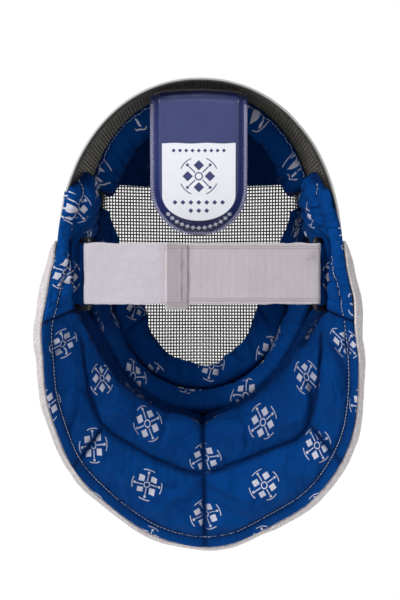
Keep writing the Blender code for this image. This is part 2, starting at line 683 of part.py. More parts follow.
def strap_fold(bar_x, sign):
    """Path of a strap's end: out to the ring, round its rear bar and back along itself."""
    radius = RING_REAR_DEPTH - STRAP_DEPTH
    reach = sign * radius
    turns = np.radians((-90, -55, -20, 20, 55, 90))
    round_bar = [(bar_x + reach * math.cos(t), RING_REAR_DEPTH + radius * math.sin(t)) for t in turns]
    tight = STRAP_DEPTH + STRAP_THICK + GAP
    leave = RING_REAR_DEPTH + radius * 0.97
    back = [(bar_x - sign * 0.003, leave), (bar_x - sign * 0.019, tight + 0.0002)]
    return round_bar + back + [(bar_x - sign * STRAP_RETURN, tight)]


def make_ribbon(name, path, finish, thick=STRAP_THICK, height=STRAP_HEIGHT):
    """Webbing on edge: a path in plan, given thickness and a height."""
    path = np.array(path)[None]
    middle = outward(path)[0] * thick / 2
    plan = np.concatenate((path[0] + middle, (path[0] - middle)[::-1]))
    heights = (STRAP_Z - height / 2, STRAP_Z + height / 2)
    rings = [np.column_stack((plan, np.full(len(plan), level))) for level in heights]
    return loft_rings(name, rings, finish)


def make_ring_tab(name, sign, finish):
    """Cloth tab folded round the front bar of a ring, its ends sewn to the side lining."""
    radius = RING_BAR + 3 * GAP + TAB_THICK / 2
    turns = np.radians((0, -45, -90, -135, -180))
    fold = [(RING_FRONT_X + radius * math.cos(t), RING_FRONT_DEPTH + radius * math.sin(t)) for t in turns]
    end_x, end_y = TAB_END
    past_bar = (RING_FRONT_X - radius, RING_FRONT_DEPTH + radius)
    path = [(end_x, end_y)] + fold + [past_bar, (end_x - TAB_THICK - GAP, end_y)]
    make_ribbon(name, [(sign * x, y) for x, y in path], finish, TAB_THICK, TAB_HEIGHT)


def make_straps(loop_pile, elastic):
    """Left half under, right half over it, its end folded back on itself as a tab."""
    over = STRAP_DEPTH - STRAP_THICK - GAP
    tab = over - STRAP_THICK - GAP
    left = [(OVERLAP_END_X, STRAP_DEPTH)] + strap_fold(RING_REAR_X[0], -1)
    make_ribbon("strap_left", left, loop_pile)
    middle = (tab + over) / 2
    bend = (over - tab) / 2
    turns = np.radians((0, 45, 90, 135, 180))
    fold = [(TAB_X[0] + bend * (1 - math.sin(t)), middle - bend * math.cos(t)) for t in turns]
    step = [(OVERLAP_END_X + 0.004, over), (OVERLAP_STEP_X, STRAP_DEPTH)]
    right = [(TAB_X[1], tab)] + fold + step + strap_fold(RING_REAR_X[1], 1)
    make_ribbon("strap_right", right, elastic)


def main():
    """Build every piece."""
    clear_scene()
    steel = material("wire_steel", WIRE_GREY, 0.45, 0.9)
    trim = material("trim_grey", TRIM_GREY, 0.5)
    blue = material("lining_blue", LINING_BLUE, 0.8)
    cloth = material("bib_white", CLOTH_WHITE, 0.9)
    make_face_mesh(steel)
    make_side_mesh(steel)
    make_mesh_join(steel)
    make_rim_trim(trim)
    make_chin_pad(blue)
    make_jaw_roll(blue)
    make_forehead_pad(blue)
    make_side_lining("side_lining_left", -1, blue)
    make_side_lining("side_lining_right", 1, blue)
    make_bib_lining(blue)
    make_bib_cloth(cloth)
    make_tongue(material("tongue_navy", NAVY, 0.3))
    make_tongue_label(material("label_white", WHITE, 0.4))
    black = material("ring_black", BLACK, 0.35)
    make_strap_ring("strap_ring_left", -1, black)
    make_strap_ring("strap_ring_right", 1, black)
    make_ring_tab("ring_tab_left", -1, blue)
    make_ring_tab("ring_tab_right", 1, blue)
    make_straps(material("strap_pile", STRAP_WHITE, 0.9), material("strap_elastic", STRAP_WHITE, 0.7))


main()
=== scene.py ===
import math

import bmesh
import bpy
import numpy as np
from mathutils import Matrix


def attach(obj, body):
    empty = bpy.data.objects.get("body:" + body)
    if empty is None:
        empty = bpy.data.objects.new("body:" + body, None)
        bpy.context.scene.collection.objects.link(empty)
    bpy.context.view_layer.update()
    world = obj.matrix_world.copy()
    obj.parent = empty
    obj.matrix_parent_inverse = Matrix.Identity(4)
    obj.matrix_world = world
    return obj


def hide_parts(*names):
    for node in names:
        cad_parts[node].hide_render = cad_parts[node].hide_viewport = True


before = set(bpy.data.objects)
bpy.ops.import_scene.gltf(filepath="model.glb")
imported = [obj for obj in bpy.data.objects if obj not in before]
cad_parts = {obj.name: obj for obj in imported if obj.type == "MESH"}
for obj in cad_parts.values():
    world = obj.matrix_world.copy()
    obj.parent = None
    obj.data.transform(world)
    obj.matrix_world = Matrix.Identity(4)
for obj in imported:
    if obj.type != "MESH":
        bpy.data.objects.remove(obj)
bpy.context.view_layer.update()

# Fencing mask: wire, cloth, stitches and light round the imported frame.
#
# Metres, +Z up, the face guard towards +Y.  A section plane through the hub line has an angle:
# 0 is straight down, 90 is +X, 180 is the crown.  In it a point is (radius, depth along +Y).
HUB_Z = -0.118

# Loops of the rear rim and of the join between the two meshes: half width, height above the hub and
# below it, and the superellipse's power; then their depths at the sides, at the top and below.
RIM = (0.1165, 0.145, 0.156, 2.1)
RIM_DEPTHS = (-0.070, -0.058, 0.022)
JOIN = (0.101, 0.132, 0.150, 2.3)
JOIN_DEPTHS = (0.012, 0.040, 0.038)

# Face guard: depth and height of its nose, fall of its flanks, radius of its crease and of its
# profile, slope of its wall before the join and blend of the corner there; bow of the side band.
NOSE_DEPTH = 0.126
NOSE_Z = -0.125
FLANK_SLOPE = 0.54
CREASE_ROUNDING = 0.003
PROFILE_RADIUS = 0.180
WALL_SLOPE = 5.0
CORNER_BLEND = 0.020
BAND_BOW = 0.03

# Walls, and the linings' clearance from the wire and their least thickness.
WIRE_WALL = 0.002
TRIM_THICK = 0.0032
BIB_CLOTH = 0.002
LINING_GAP = 0.001
THINNEST = 0.0012

# Angles of the seams between bib and side linings and between side and crown linings, with half the
# gap that parts the pieces, and of the bib cloth's ends.
SIDE_SEAM_ANGLE = 66.0
SIDE_TOP_ANGLE = 123.0
SEAM_GAP = 0.15
BIB_END_ANGLE = 95.0

# How far the bib's hem turns in for its depth, and its stitched line's distance from the edge.
HEM_TURN = 1.8
BIB_STITCH = 0.0098

# Stitches along the linings' edges, and the settling of pads: frames, how near a seam the cloth is
# held, and the most that it may move.
STITCH_STEP = 0.0034
SETTLING_FRAMES = 20
HELD_NEAR = 0.0025
MOST_MOVED = 0.004

# Wire thickness, how far each family of wires bends off the sheet, and their spacing.
WIRE = 0.00123
CRIMP = (0.00022, 0.00062)
PITCH = 0.0029

# Angle, radius of the face opening's edge and of the groove outside the chin pad.
CHIN_ROWS = (
    (0, 0.0975, 0.1190),
    (15, 0.0940, 0.1155),
    (30, 0.0840, 0.1090),
    (45, 0.0715, 0.1010),
    (60, 0.0660, 0.0920),
    (75, 0.0645, 0.0895),
    (90, 0.0690, 0.0915),
    (103, 0.0760, 0.0970),
    (110, 0.0840, 0.0985),
    (117, 0.0915, 0.0990),
)

# Angle, radius where the jaw roll starts on the wire, then radius and depth of its outer edge.
JAW_ROWS = (
    (0, 0.1215, 0.1370, 0.0620),
    (15, 0.1185, 0.1340, 0.0580),
    (30, 0.1125, 0.1240, 0.0480),
    (45, 0.1040, 0.1130, 0.0300),
    (60, 0.0955, 0.1050, 0.0120),
    (75, 0.0925, 0.1010, 0.0020),
    (92, 0.0935, 0.0990, -0.0020),
)

# Lining: angle, station of its front edge, station where it leaves the wire, (radius, depth)
# inside the rim and behind the rim, and its thickness.
LINING_ROWS = (
    (0, 0.950, 1.35, 0.1490, 0.0170, 0.1600, 0.0160, 0.0100),
    (15, 0.955, 1.35, 0.1460, 0.0110, 0.1570, 0.0090, 0.0100),
    (30, 0.965, 1.40, 0.1375, -0.0070, 0.1480, -0.0105, 0.0096),
    (45, 0.985, 1.50, 0.1265, -0.0300, 0.1375, -0.0345, 0.0086),
    (60, 1.030, 1.60, 0.1188, -0.0530, 0.1280, -0.0590, 0.0068),
    (66, 1.050, 1.60, 0.1158, -0.0620, 0.1250, -0.0680, 0.0060),
    (75, 1.070, 1.65, 0.1124, -0.0690, 0.1190, -0.0750, 0.0056),
    (85, 1.100, 1.70, 0.1105, -0.0720, 0.1150, -0.0770, 0.0056),
    (92, 1.080, 1.70, 0.1098, -0.0640, 0.1125, -0.0735, 0.0062),
    (96, 1.040, 1.70, 0.1098, -0.0600, 0.1125, -0.0715, 0.0070),
    (100, 0.990, 1.60, 0.1100, -0.0550, 0.1130, -0.0700, 0.0080),
    (110, 0.985, 1.55, 0.1120, -0.0510, 0.1150, -0.0685, 0.0100),
    (123, 0.985, 1.55, 0.1172, -0.0480, 0.1195, -0.0660, 0.0110),
)

# Bib cloth: angle, station of its upper edge, station where it leaves the wire, then (radius,
# depth) it bows through, its widest radius left and right, its hem's depth and how it turns in.
BIB_ROWS = (
    (0, 0.680, 0.82, 0.1800, 0.0880, 0.2570, 0.2570, 0.0520, 0.0030),
    (15, 0.700, 0.86, 0.1750, 0.0760, 0.2425, 0.2470, 0.0340, 0.0040),
    (30, 0.800, 0.92, 0.1680, 0.0440, 0.2178, 0.2280, -0.0020, 0.0055),
    (45, 0.930, 1.00, 0.1540, 0.0050, 0.1845, 0.1905, -0.0480, 0.0060),
    (60, 1.000, 1.10, 0.1380, -0.0280, 0.1573, 0.1555, -0.0760, 0.0060),
    (75, 1.200, 1.30, 0.1265, -0.0470, 0.1365, 0.1355, -0.0800, 0.0060),
    (88, 1.420, 1.50, 0.1200, -0.0560, 0.1245, 0.1240, -0.0760, 0.0040),
    (95, 1.620, 1.68, 0.1188, -0.0610, 0.1195, 0.1195, -0.0720, 0.0005),
)

# Radius of the bib lining's long curved seam, by angle, left and right of the middle.
ARC_SEAM = (
    (0, 0.1850, 0.1850),
    (10, 0.1785, 0.1790),
    (20, 0.1710, 0.1745),
    (30, 0.1645, 0.1730),
    (38, 0.1500, 0.1560),
    (46, 0.1340, 0.1390),
    (58, 0.1180, 0.1190),
    (66, 0.1130, 0.1130),
)

# Straight seams of the bib lining: angle, inner radius, outer radius.
RADIAL_SEAMS = ((-29.5, 0.164, 0.215), (1.0, 0.140, 0.262), (33.0, 0.172, 0.222))

# Soft folds of the bib lining: angle and radius at one end, the same at the other, height, width.
FOLDS = (
    (-44, 0.150, -33, 0.160, -0.0016, 0.0030),
    (-52, 0.135, -40, 0.176, 0.0018, 0.0050),
    (-46, 0.145, -37, 0.190, -0.0014, 0.0035),
    (-24, 0.142, -19, 0.166, -0.0012, 0.0028),
    (-12, 0.142, -13, 0.168, -0.0010, 0.0026),
    (14, 0.142, 13, 0.170, -0.0014, 0.0030),
    (24, 0.138, 27, 0.166, 0.0014, 0.0045),
    (41, 0.136, 33, 0.168, -0.0022, 0.0030),
    (48, 0.132, 38, 0.180, 0.0024, 0.0055),
    (56, 0.128, 45, 0.172, -0.0022, 0.0034),
    (61, 0.126, 52, 0.160, 0.0016, 0.0045),
    (-61, 0.124, -55, 0.150, -0.0014, 0.0030),
    (-16, 0.198, 12, 0.212, 0.0008, 0.0080),
    (-38, 0.176, -50, 0.168, 0.0010, 0.0050),
)

# Tongue, label, strap and its loops, as in the CAD.
TONGUE_HALF_WIDTH = 0.0405
TONGUE_CENTRE_X = -0.001
TONGUE_TIP = (-0.022, -0.1015)
TONGUE_BACK_DEPTH = -0.047
TONGUE_FRONT_DEPTH = -0.024
TONGUE_THICK = 0.003
TONGUE_BEND = 0.006
TONGUE_FLANGE_HALF = 0.031
PANEL_INSET = 0.008
PANEL_RISE = 0.0045
LABEL_HALF_WIDTH = 0.0305
LABEL_RUN = (0.0135, 0.0785)
LABEL_ROUND = 0.0215
LABEL_THICK = 0.0008
PANEL_ROUND = 0.033
GAP = 0.0004
STRAP_Z = -0.1345
STRAP_HEIGHT = 0.050
STRAP_THICK = 0.0018
STRAP_DEPTH = -0.0705
STRAP_RETURN = 0.038
OVERLAP_END_X = 0.040
TAB_X = (-0.0277, -0.0105)
RING_REAR_X = (-0.0905, 0.0942)
RING_REAR_DEPTH = -0.0668
RING_BAR = 0.0021


# ------------------------------------------------------------------ section geometry

def loop_radius(turn, half_width, above, below, power):
    """Superellipse radius round the hub, with one height above it and another below."""
    height = np.where(np.cos(turn) < 0, above, below)
    across = np.abs(np.sin(turn)) / half_width
    return (across**power + (np.abs(np.cos(turn)) / height) ** power) ** (-1.0 / power)


def loop_depth(turn, side, top, bottom):
    """Side depth, swinging to the top or bottom depth with the squared cosine of the angle."""
    end = np.where(np.cos(turn) < 0, top, bottom)
    return side + (end - side) * np.cos(turn) ** 2


def front_depth(turn, radius):
    """Face guard: nose depth, less a rounded crease across and a circle's drop along the profile."""
    x = radius * np.sin(turn)
    z = HUB_Z - radius * np.cos(turn)
    crease = np.sqrt(x**2 + CREASE_ROUNDING**2) - CREASE_ROUNDING
    return NOSE_DEPTH - FLANK_SLOPE * crease - (z - NOSE_Z) ** 2 / (2 * PROFILE_RADIUS)


def shell(angles, stations):
    """Middle of the wire shell: stations 0 to 1 from the hub over the face guard, the lower of its
    front and its steep wall with a rounded corner; 1 to 2 straight back to the rim, a little bowed."""
    turn = np.radians(np.asarray(angles, dtype=float))
    stations = np.asarray(stations, dtype=float)
    join_r, join_y = loop_radius(turn, *JOIN), loop_depth(turn, *JOIN_DEPTHS)
    rim_r = loop_radius(turn, *RIM) - TRIM_THICK / 2
    rim_y = loop_depth(turn, *RIM_DEPTHS)
    face_r = np.minimum(stations, 1.0) * join_r
    front = front_depth(turn, face_r)
    wall = join_y + WALL_SLOPE * (join_r - face_r)
    near = np.maximum(CORNER_BLEND - np.abs(front - wall), 0.0)
    face_y = np.minimum(front, wall) - near**2 / (4 * CORNER_BLEND)
    along = np.clip(stations - 1.0, 0.0, 1.0)
    bow = BAND_BOW * (join_y - rim_y) * np.sin(np.pi * along)
    on_face = stations <= 1.0
    radius = np.where(on_face, face_r, join_r + (rim_r - join_r) * along + bow)
    return np.stack((radius, np.where(on_face, face_y, join_y + (rim_y - join_y) * along)), axis=-1)


def place(angles, sections):
    """Section points (radius, depth) turned into the room by their angles in degrees."""
    turn = np.radians(np.broadcast_to(angles, sections.shape[:-1]))
    radius, depth = sections[..., 0], sections[..., 1]
    return np.stack((radius * np.sin(turn), depth, HUB_Z - radius * np.cos(turn)), axis=-1)


def cubic(here, rise, start, end, t):
    """Cubic piece through a value and its rise, with its slopes at both ends, at t from 0 to 1."""
    return here + t * start + t * t * (3 * rise - 2 * start - end) + t**3 * (start + end - 2 * rise)


def column(rows, index, angles, side=None):
    """A table's column between its rows, which start at angle 0 or above it: cubic pieces with the
    slopes of the neighbouring rows.  Below angle 0 they are mirrored, or with side, that column holds
    for the angles above 0 and index for those below."""
    angles = np.asarray(angles, dtype=float)
    if side is not None:
        return np.where(angles < 0, column(rows, index, angles), column(rows, side, angles))
    known = np.array([row[0] for row in rows], dtype=float)
    values = np.array([row[index] for row in rows], dtype=float)
    slope = np.gradient(values, known)
    slope[0] = 0.0 if known[0] == 0 else slope[0]
    at = np.clip(np.abs(angles), known[0], known[-1])
    low = np.clip(np.searchsorted(known, at, side="right") - 1, 0, len(known) - 2)
    step = known[low + 1] - known[low]
    t = (at - known[low]) / step
    return cubic(values[low], values[low + 1] - values[low], slope[low] * step, slope[low + 1] * step, t)


def through(points, count, tight=0.6):
    """Smooth curves of count points through a few points each, as cubic pieces; tight scales their
    slopes at those points."""
    points = np.asarray(points)
    spans = points.shape[1] - 1
    slope = tight * np.gradient(points, axis=1)
    at = np.linspace(0, spans, count)
    low = np.minimum(at.astype(int), spans - 1)
    t = (at - low)[None, :, None]
    return cubic(points[:, low], points[:, low + 1] - points[:, low], slope[:, low], slope[:, low + 1], t)


def reread(grid, rows, cols):
    """A grid read again at other counts of rows and columns."""
    return through(through(grid, cols, 1.0).swapaxes(0, 1), rows, 1.0).swapaxes(0, 1)


def quarter_turn(vectors):
    """Plane vectors turned to their left by 90 degrees."""
    return np.stack((-vectors[..., 1], vectors[..., 0]), axis=-1)


def section_normals(curves):
    """Unit normals of section curves, away from the head."""
    return unit(quarter_turn(np.gradient(curves, axis=1)))


def shell_side(angles, stations, gap):
    """Curves inside the wire shell at a clearance: the shell moved along its own section normal."""
    reach = 0.004
    ahead, behind = (shell(angles[:, None], stations + step) for step in (reach, -reach))
    return shell(angles[:, None], stations) - unit(quarter_turn(ahead - behind)) * (WIRE_WALL / 2 + gap)


def unit(vectors):
    """Vectors at length 1."""
    return vectors / np.maximum(np.linalg.norm(vectors, axis=-1, keepdims=True), 1e-12)


def smooth(value, low, high):
    """0 below low, 1 above high, and an S curve of 3t^2 - 2t^3 between."""
    t = np.clip((value - low) / (high - low), 0.0, 1.0)
    return t * t * (3 - 2 * t)


def bell(value, width):
    """1 where a value is 0, falling off on both sides as exp(-(value / width)^2)."""
    return np.exp(-((value / width) ** 2))


def fall(value, width):
    """1 where a value is 0, falling off as exp(-value / width)."""
    return np.exp(-value / width)


def uneven(points, size, seed):
    """Soft unevenness about -1 to 1: three octaves of seven seeded sine waves, each octave half as
    long and half as high as the one before."""
    rng = np.random.default_rng(seed)
    total = np.zeros(points.shape[:-1])
    for octave in range(3):
        waves = rng.normal(size=(7, 3))
        waves *= 2 * np.pi * 2**octave / size / np.linalg.norm(waves, axis=1, keepdims=True)
        total += np.sin(points @ waves.T + rng.uniform(0, 2 * np.pi, 7)).sum(axis=-1) / 3.5 / 2**octave
    return total


# ------------------------------------------------------------------ mesh makers

def linked(name, data):
    """A new object of a mesh, lamp or camera, in the scene."""
    made = bpy.data.objects.new(name, data)
    bpy.context.collection.objects.link(made)
    return made


def add_mesh(name, points, faces, finish, flat=None, marks=None, sharp=None):
    """A piece from points and faces, with its cloth coordinates per corner and named point values;
    edges that turn by more than sharp degrees stay sharp."""
    mesh = bpy.data.meshes.new(name)
    mesh.from_pydata(points.tolist(), [], faces)
    if flat is not None:
        layer = mesh.uv_layers.new(name="cloth")
        layer.data.foreach_set("uv", np.asarray(flat, dtype=np.float32).ravel())
    for mark, values in (marks or {}).items():
        kept = mesh.attributes.new(mark, "FLOAT", "POINT")
        kept.data.foreach_set("value", np.asarray(values, dtype=np.float32).ravel())
    body = bmesh.new()
    body.from_mesh(mesh)
    bmesh.ops.recalc_face_normals(body, faces=body.faces)
    body.to_mesh(mesh)
    body.free()
    mesh.materials.append(finish)
    mesh.shade_smooth()
    if sharp:
        mesh.set_sharp_from_angle(angle=math.radians(sharp))
    made = linked(name, mesh)
    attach(made, "root")
    return made


def stand_in(piece, node):
    """The piece shows in place of a CAD node, which is hidden."""
    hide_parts(node)
    return piece


def grid_quads(rows, cols, wrap_rows=False, wrap_cols=False):
    """Corner indices of a grid's quads, and the (row, column) of each corner before wrapping."""
    i, j = np.meshgrid(np.arange(rows if wrap_rows else rows - 1),
                       np.arange(cols if wrap_cols else cols - 1), indexing="ij")
    i, j = i.ravel(), j.ravel()
    row = np.stack((i, i, i + 1, i + 1), axis=1)
    col = np.stack((j, j + 1, j + 1, j), axis=1)
    return (row % rows) * cols + col % cols, row, col


def slab(name, seen, hidden, flat, finish, wrap=False, marks=None, sharp=50):
    """A sheet with two faces, seen and hidden grids of equal size, closed along its borders; wrap
    joins its last row to its first.  flat gives each seen point's place on the cloth, in metres."""
    rows, cols = seen.shape[:2]
    count = rows * cols
    quads, row, col = grid_quads(rows, cols, wrap_rows=wrap)
    if wrap:
        after = flat[-1:].copy()
        after[..., 0] = 2 * flat[-1:, :, 0] - flat[-2:-1, :, 0]
        flat = np.concatenate((flat, after))
    corner = flat.reshape(-1, 2)
    spots = corner[row * cols + col]
    parts, places = [quads, quads[:, ::-1] + count], [spots, spots[:, ::-1]]
    line = np.arange(rows if wrap else rows - 1)
    for j in (0, cols - 1):
        a, b = line * cols + j, (line + 1) % rows * cols + j
        parts.append(np.stack((a, b, b + count, a + count), axis=1))
        places.append(corner[np.stack((line, line + 1, line + 1, line), axis=1) * cols + j])
    line = np.arange(cols - 1)
    for i in () if wrap else (0, rows - 1):
        a, b = i * cols + line, i * cols + line + 1
        parts.append(np.stack((a, b, b + count, a + count), axis=1))
        places.append(corner[np.stack((line, line + 1, line + 1, line), axis=1) + i * cols])
    points = np.concatenate((seen.reshape(-1, 3), hidden.reshape(-1, 3)))
    doubled = {mark: np.tile(values.ravel(), 2) for mark, values in (marks or {}).items()}
    faces = np.concatenate(parts).tolist()
    return add_mesh(name, points, faces, finish, np.concatenate(places), doubled, sharp)


def tubes(name, lines, ups, valid, radius, finish, sides=5):
    """Wires or threads: rings of a few sides round every valid point of each line, joined between
    neighbouring valid points and closed at both ends."""
    lines, ups = np.asarray(lines, dtype=float), np.asarray(ups, dtype=float)
    count, size = lines.shape[:2]
    along = unit(np.gradient(lines, axis=1))
    side = unit(np.cross(along, ups))
    up = np.cross(side, along)
    turn = 2 * np.pi * np.arange(sides) / sides
    reach = np.broadcast_to(radius, (count, size))[..., None, None]
    ring = side[:, :, None] * np.cos(turn)[:, None] + up[:, :, None] * np.sin(turn)[:, None]
    points = (lines[:, :, None] + ring * reach).reshape(-1, 3)
    base = np.arange(count * size).reshape(count, size) * sides
    joined = valid[:, :-1] & valid[:, 1:]
    here, there = base[:, :-1][joined][:, None], base[:, 1:][joined][:, None]
    k = np.arange(sides)
    n = (k + 1) % sides
    quads = np.stack((here + k, here + n, there + n, there + k), axis=-1).reshape(-1, 4)
    before, after = np.pad(joined, ((0, 0), (1, 0))), np.pad(joined, ((0, 0), (0, 1)))
    ends = np.concatenate((base[after & ~before], base[before & ~after]))
    used = np.zeros(len(points), dtype=bool)
    used[quads] = True
    new = np.cumsum(used) - 1
    return add_mesh(name, points[used], new[quads].tolist() + new[ends[:, None] + k].tolist(), finish)


def lengths(points):
    """Distance run along each line of a grid of points."""
    step = np.linalg.norm(np.diff(points, axis=-2), axis=-1)
    return np.concatenate((np.zeros(step.shape[:-1] + (1,)), np.cumsum(step, axis=-1)), axis=-1)


def normals_of(grid):
    """Unit normals of a grid of points, from the cross product of its two directions."""
    return unit(np.cross(np.gradient(grid, axis=0), np.gradient(grid, axis=1)))


def even_path(path, step):
    """A path and what is stacked beside its three coordinates, read at even steps along its length."""
    run = lengths(path[:, :3])
    at = np.arange(step / 2, run[-1], step)
    return np.stack([np.interp(at, run, path[:, c]) for c in range(path.shape[1])], axis=1)


def stitches(name, path, ups, step, length, radius, finish, slant=0.0):
    """Thread stitches along a path: each one a short tube that rises out of the cloth and dips in
    again, turned by slant degrees from the path."""
    rows = even_path(np.concatenate((path, ups), axis=1), step)
    centre = rows[:, :3]
    along, up = unit(np.gradient(centre, axis=0)), unit(rows[:, 3:])
    angle = math.radians(slant)
    along = along * math.cos(angle) + np.cross(up, along) * math.sin(angle)
    t = np.linspace(-0.5, 0.5, 5)
    lift = radius * (2.2 * np.cos(np.pi * t) - 0.9)
    lines = centre[:, None] + along[:, None] * (t * length)[:, None] + up[:, None] * lift[:, None]
    width = radius * np.array((0.6, 1.0, 1.0, 1.0, 0.6))
    every = np.ones(lines.shape[:2], dtype=bool)
    return tubes(name, lines, np.repeat(up[:, None], 5, axis=1), every, width[None], finish)


# ------------------------------------------------------------------ materials

class Field:
    """One output of a material's nodes; arithmetic on it adds Math nodes."""

    def __init__(self, tree, socket):
        self.tree = tree
        self.socket = socket

    def node(self, kind, inputs=(), out=0, **settings):
        """Any other node: its settings first, then a value or a link for each named socket."""
        made = self.tree.nodes.new(kind)
        for key, value in settings.items():
            if key == "stops":
                ramp = made.color_ramp
                while len(ramp.elements) < len(value):
                    ramp.elements.new(0.5)
                for element, (place_at, colour) in zip(ramp.elements, value):
                    element.position = place_at
                    element.color = (*colour, 1.0)
            else:
                setattr(made, key, value)
        for key, value in dict(inputs).items():
            socket = made.inputs[key]
            if isinstance(value, Field):
                self.tree.links.new(value.socket, socket)
            else:
                socket.default_value = value
        return Field(self.tree, made.outputs[out])

    def math(self, operation, *others):
        """A Math node of this field and others."""
        return self.node("ShaderNodeMath", dict(enumerate((self, *others))), operation=operation)

    def __add__(self, other):
        return self.math("ADD", other)

    __radd__ = __add__

    def __mul__(self, other):
        return self.math("MULTIPLY", other)

    __rmul__ = __mul__

    def __sub__(self, other):
        return self.math("SUBTRACT", other)

    def __rsub__(self, other):
        return (self * -1.0) + other

    def __truediv__(self, other):
        return self.math("DIVIDE", other)

    def __pow__(self, other):
        return self.math("POWER", other)

    def below(self, edge, soft):
        """1 where this field is under the edge, 0 above it, with a soft step between."""
        ends = {"From Min": edge - soft, "From Max": edge + soft, "To Min": 1.0, "To Max": 0.0}
        return self.node("ShaderNodeMapRange", {"Value": self, **ends}, interpolation_type="SMOOTHSTEP")

    def about(self, place_at, half, soft=0.0002):
        """1 where this field is within half of a place, with soft steps on both sides."""
        return (self - place_at).math("ABSOLUTE").below(half, soft)

    def ripple(self, pitch):
        """Sine waves along this field, one to each pitch."""
        return (self * (6.283 / pitch)).math("SINE")

    def noise(self, where, scale, detail=3.0, roughness=0.5):
        """Noise about 0 to 1 at the given place."""
        values = {"Vector": where, "Scale": scale, "Detail": detail, "Roughness": roughness}
        return self.node("ShaderNodeTexNoise", values)

    def chance(self, other, seed):
        """A random value for each pair of whole numbers of this field and another."""
        key = self.node("ShaderNodeCombineXYZ", {"X": self, "Y": other, "Z": seed})
        return self.node("ShaderNodeTexWhiteNoise", {"Vector": key}, noise_dimensions="3D")

    def blend(self, low, high):
        """A colour between two, by this field: a Mix node, whose colour sockets are its 7th and 8th."""
        ends = [end if isinstance(end, Field) else (*end, 1.0) for end in (low, high)]
        return self.node("ShaderNodeMix", {0: self, 6: ends[0], 7: ends[1]}, out=2, data_type="RGBA")


class Finish:
    """A Principled material under construction, with the places that its patterns read."""

    def __init__(self, name, **constants):
        self.material = bpy.data.materials.new(name)
        self.material.use_nodes = True
        self.tree = self.material.node_tree
        self.shader = self.tree.nodes["Principled BSDF"]
        for key, value in constants.items():
            self.shader.inputs[key.replace("_", " ")].default_value = value
        spot = self.tree.nodes.new("ShaderNodeTexCoord")
        self.object = Field(self.tree, spot.outputs["Object"])
        self.cloth = Field(self.tree, spot.outputs["UV"])
        axes = self.tree.nodes.new("ShaderNodeSeparateXYZ")
        self.tree.links.new(self.cloth.socket, axes.inputs[0])
        self.u = Field(self.tree, axes.outputs[0])
        self.v = Field(self.tree, axes.outputs[1])

    def mark(self, name):
        """A named point value of the piece."""
        return self.object.node("ShaderNodeAttribute", out=2, attribute_name=name)

    def paint(self, colour=None, roughness=None, height=None, distance=0.0003, metallic=None):
        """Link what varies: colour, roughness, and a height in bump distances."""
        for key, value in (("Base Color", colour), ("Roughness", roughness), ("Metallic", metallic)):
            if value is not None:
                self.tree.links.new(value.socket, self.shader.inputs[key])
        if height is not None:
            bump = height.node("ShaderNodeBump", {"Height": height, "Strength": 1.0, "Distance": distance})
            self.tree.links.new(bump.socket, self.shader.inputs["Normal"])
        return self.material


def motif(x, y, soft=0.0002):
    """Printed rosette, 28 mm across and the same four ways round: a small ring, four bold diamonds,
    thin rays between them that end in small diamonds, and four arcs of an outer circle."""
    wide, tall = x.math("ABSOLUTE"), y.math("ABSOLUTE")
    far, near = wide.math("MAXIMUM", tall), wide.math("MINIMUM", tall)
    out = (x * x + y * y) ** 0.5
    bold = ((far - 0.0080).math("ABSOLUTE") + near).below(0.0038, soft)
    ring = out.about(0.0026, 0.00045, soft)
    rays = (far - near).below(0.0006, soft) * out.about(0.0070, 0.0032, soft)
    tips = ((far - 0.0082).math("ABSOLUTE") + (near - 0.0082).math("ABSOLUTE")).below(0.0014, soft)
    arcs = out.about(0.0140, 0.00036, soft) * (far - near).below(0.0075, soft)
    return bold + ring + rays + tips + arcs


def diamonds(x, y, reach, pitch=0.0055, size=0.0014):
    """Row of diamonds along x, as far as reach on both sides."""
    step = ((x / pitch + 0.5).math("FRACT") - 0.5).math("ABSOLUTE") * pitch
    return (step + y.math("ABSOLUTE")).below(size, 0.0002) * x.math("ABSOLUTE").below(reach, 0.0002)


def lining_finish():
    """Blue woven polyester with a pale generic print: a rosette in every cell of a half-drop repeat,
    turned a little by a value of its own.  A point value paints shade in its seams, creases and
    hollows, darkening the cloth and dimming the print there."""
    made = Finish("quilted_blue", Specular_IOR_Level=0.10, Specular_Tint=(0.3, 0.6, 1.0, 1.0))
    u, v = made.u, made.v
    cell, thread = 0.054, 0.00075
    column_at = (u / cell).math("FLOOR")
    down = v / cell + (column_at * 0.5).math("FRACT")
    x = ((u / cell).math("FRACT") - 0.5) * cell
    y = (down.math("FRACT") - 0.5) * cell
    turn = (column_at.chance(down.math("FLOOR"), 3.0) - 0.5) * 1.3
    cos, sin = turn.math("COSINE"), turn.math("SINE")
    x, y = x * cos + y * sin, y * cos - x * sin
    # The point value read here is painted shade: it darkens the cloth in seams, creases and hollows and
    # dims the print there.
    seam = made.mark("seam")
    print_at = motif(x, y).math("MINIMUM", 1.0) * (1 - seam * 1.15).math("MAXIMUM", 0.0)
    patchy = u.noise(made.object, 38.0, 4.0)
    fine = u.noise(made.object, 900.0, 2.0)
    cloth = patchy.blend((0.0008, 0.031, 0.155), (0.0012, 0.062, 0.285))
    cloth = (seam * 0.8).blend(cloth, (0.0015, 0.007, 0.045))
    worn = print_at * (0.80 + 0.25 * fine)
    colour = worn.math("MINIMUM", 1.0).blend(cloth, (0.66, 0.66, 0.74))
    height = u.ripple(thread) * v.ripple(thread) * 0.35 + fine * 0.5 + print_at * 0.25
    return made.paint(colour, 0.58 + patchy * 0.2 - print_at * 0.05, height, 0.00022)


def wire_finish():
    """Dark plated steel wire, its shine broken by small stains."""
    made = Finish("woven_wire", Metallic=0.6, Specular_IOR_Level=0.3)
    stain = made.object.noise(made.object, 160.0, 3.0)
    colour = stain.blend((0.020, 0.018, 0.014), (0.060, 0.056, 0.044))
    return made.paint(colour, 0.30 + stain * 0.3)


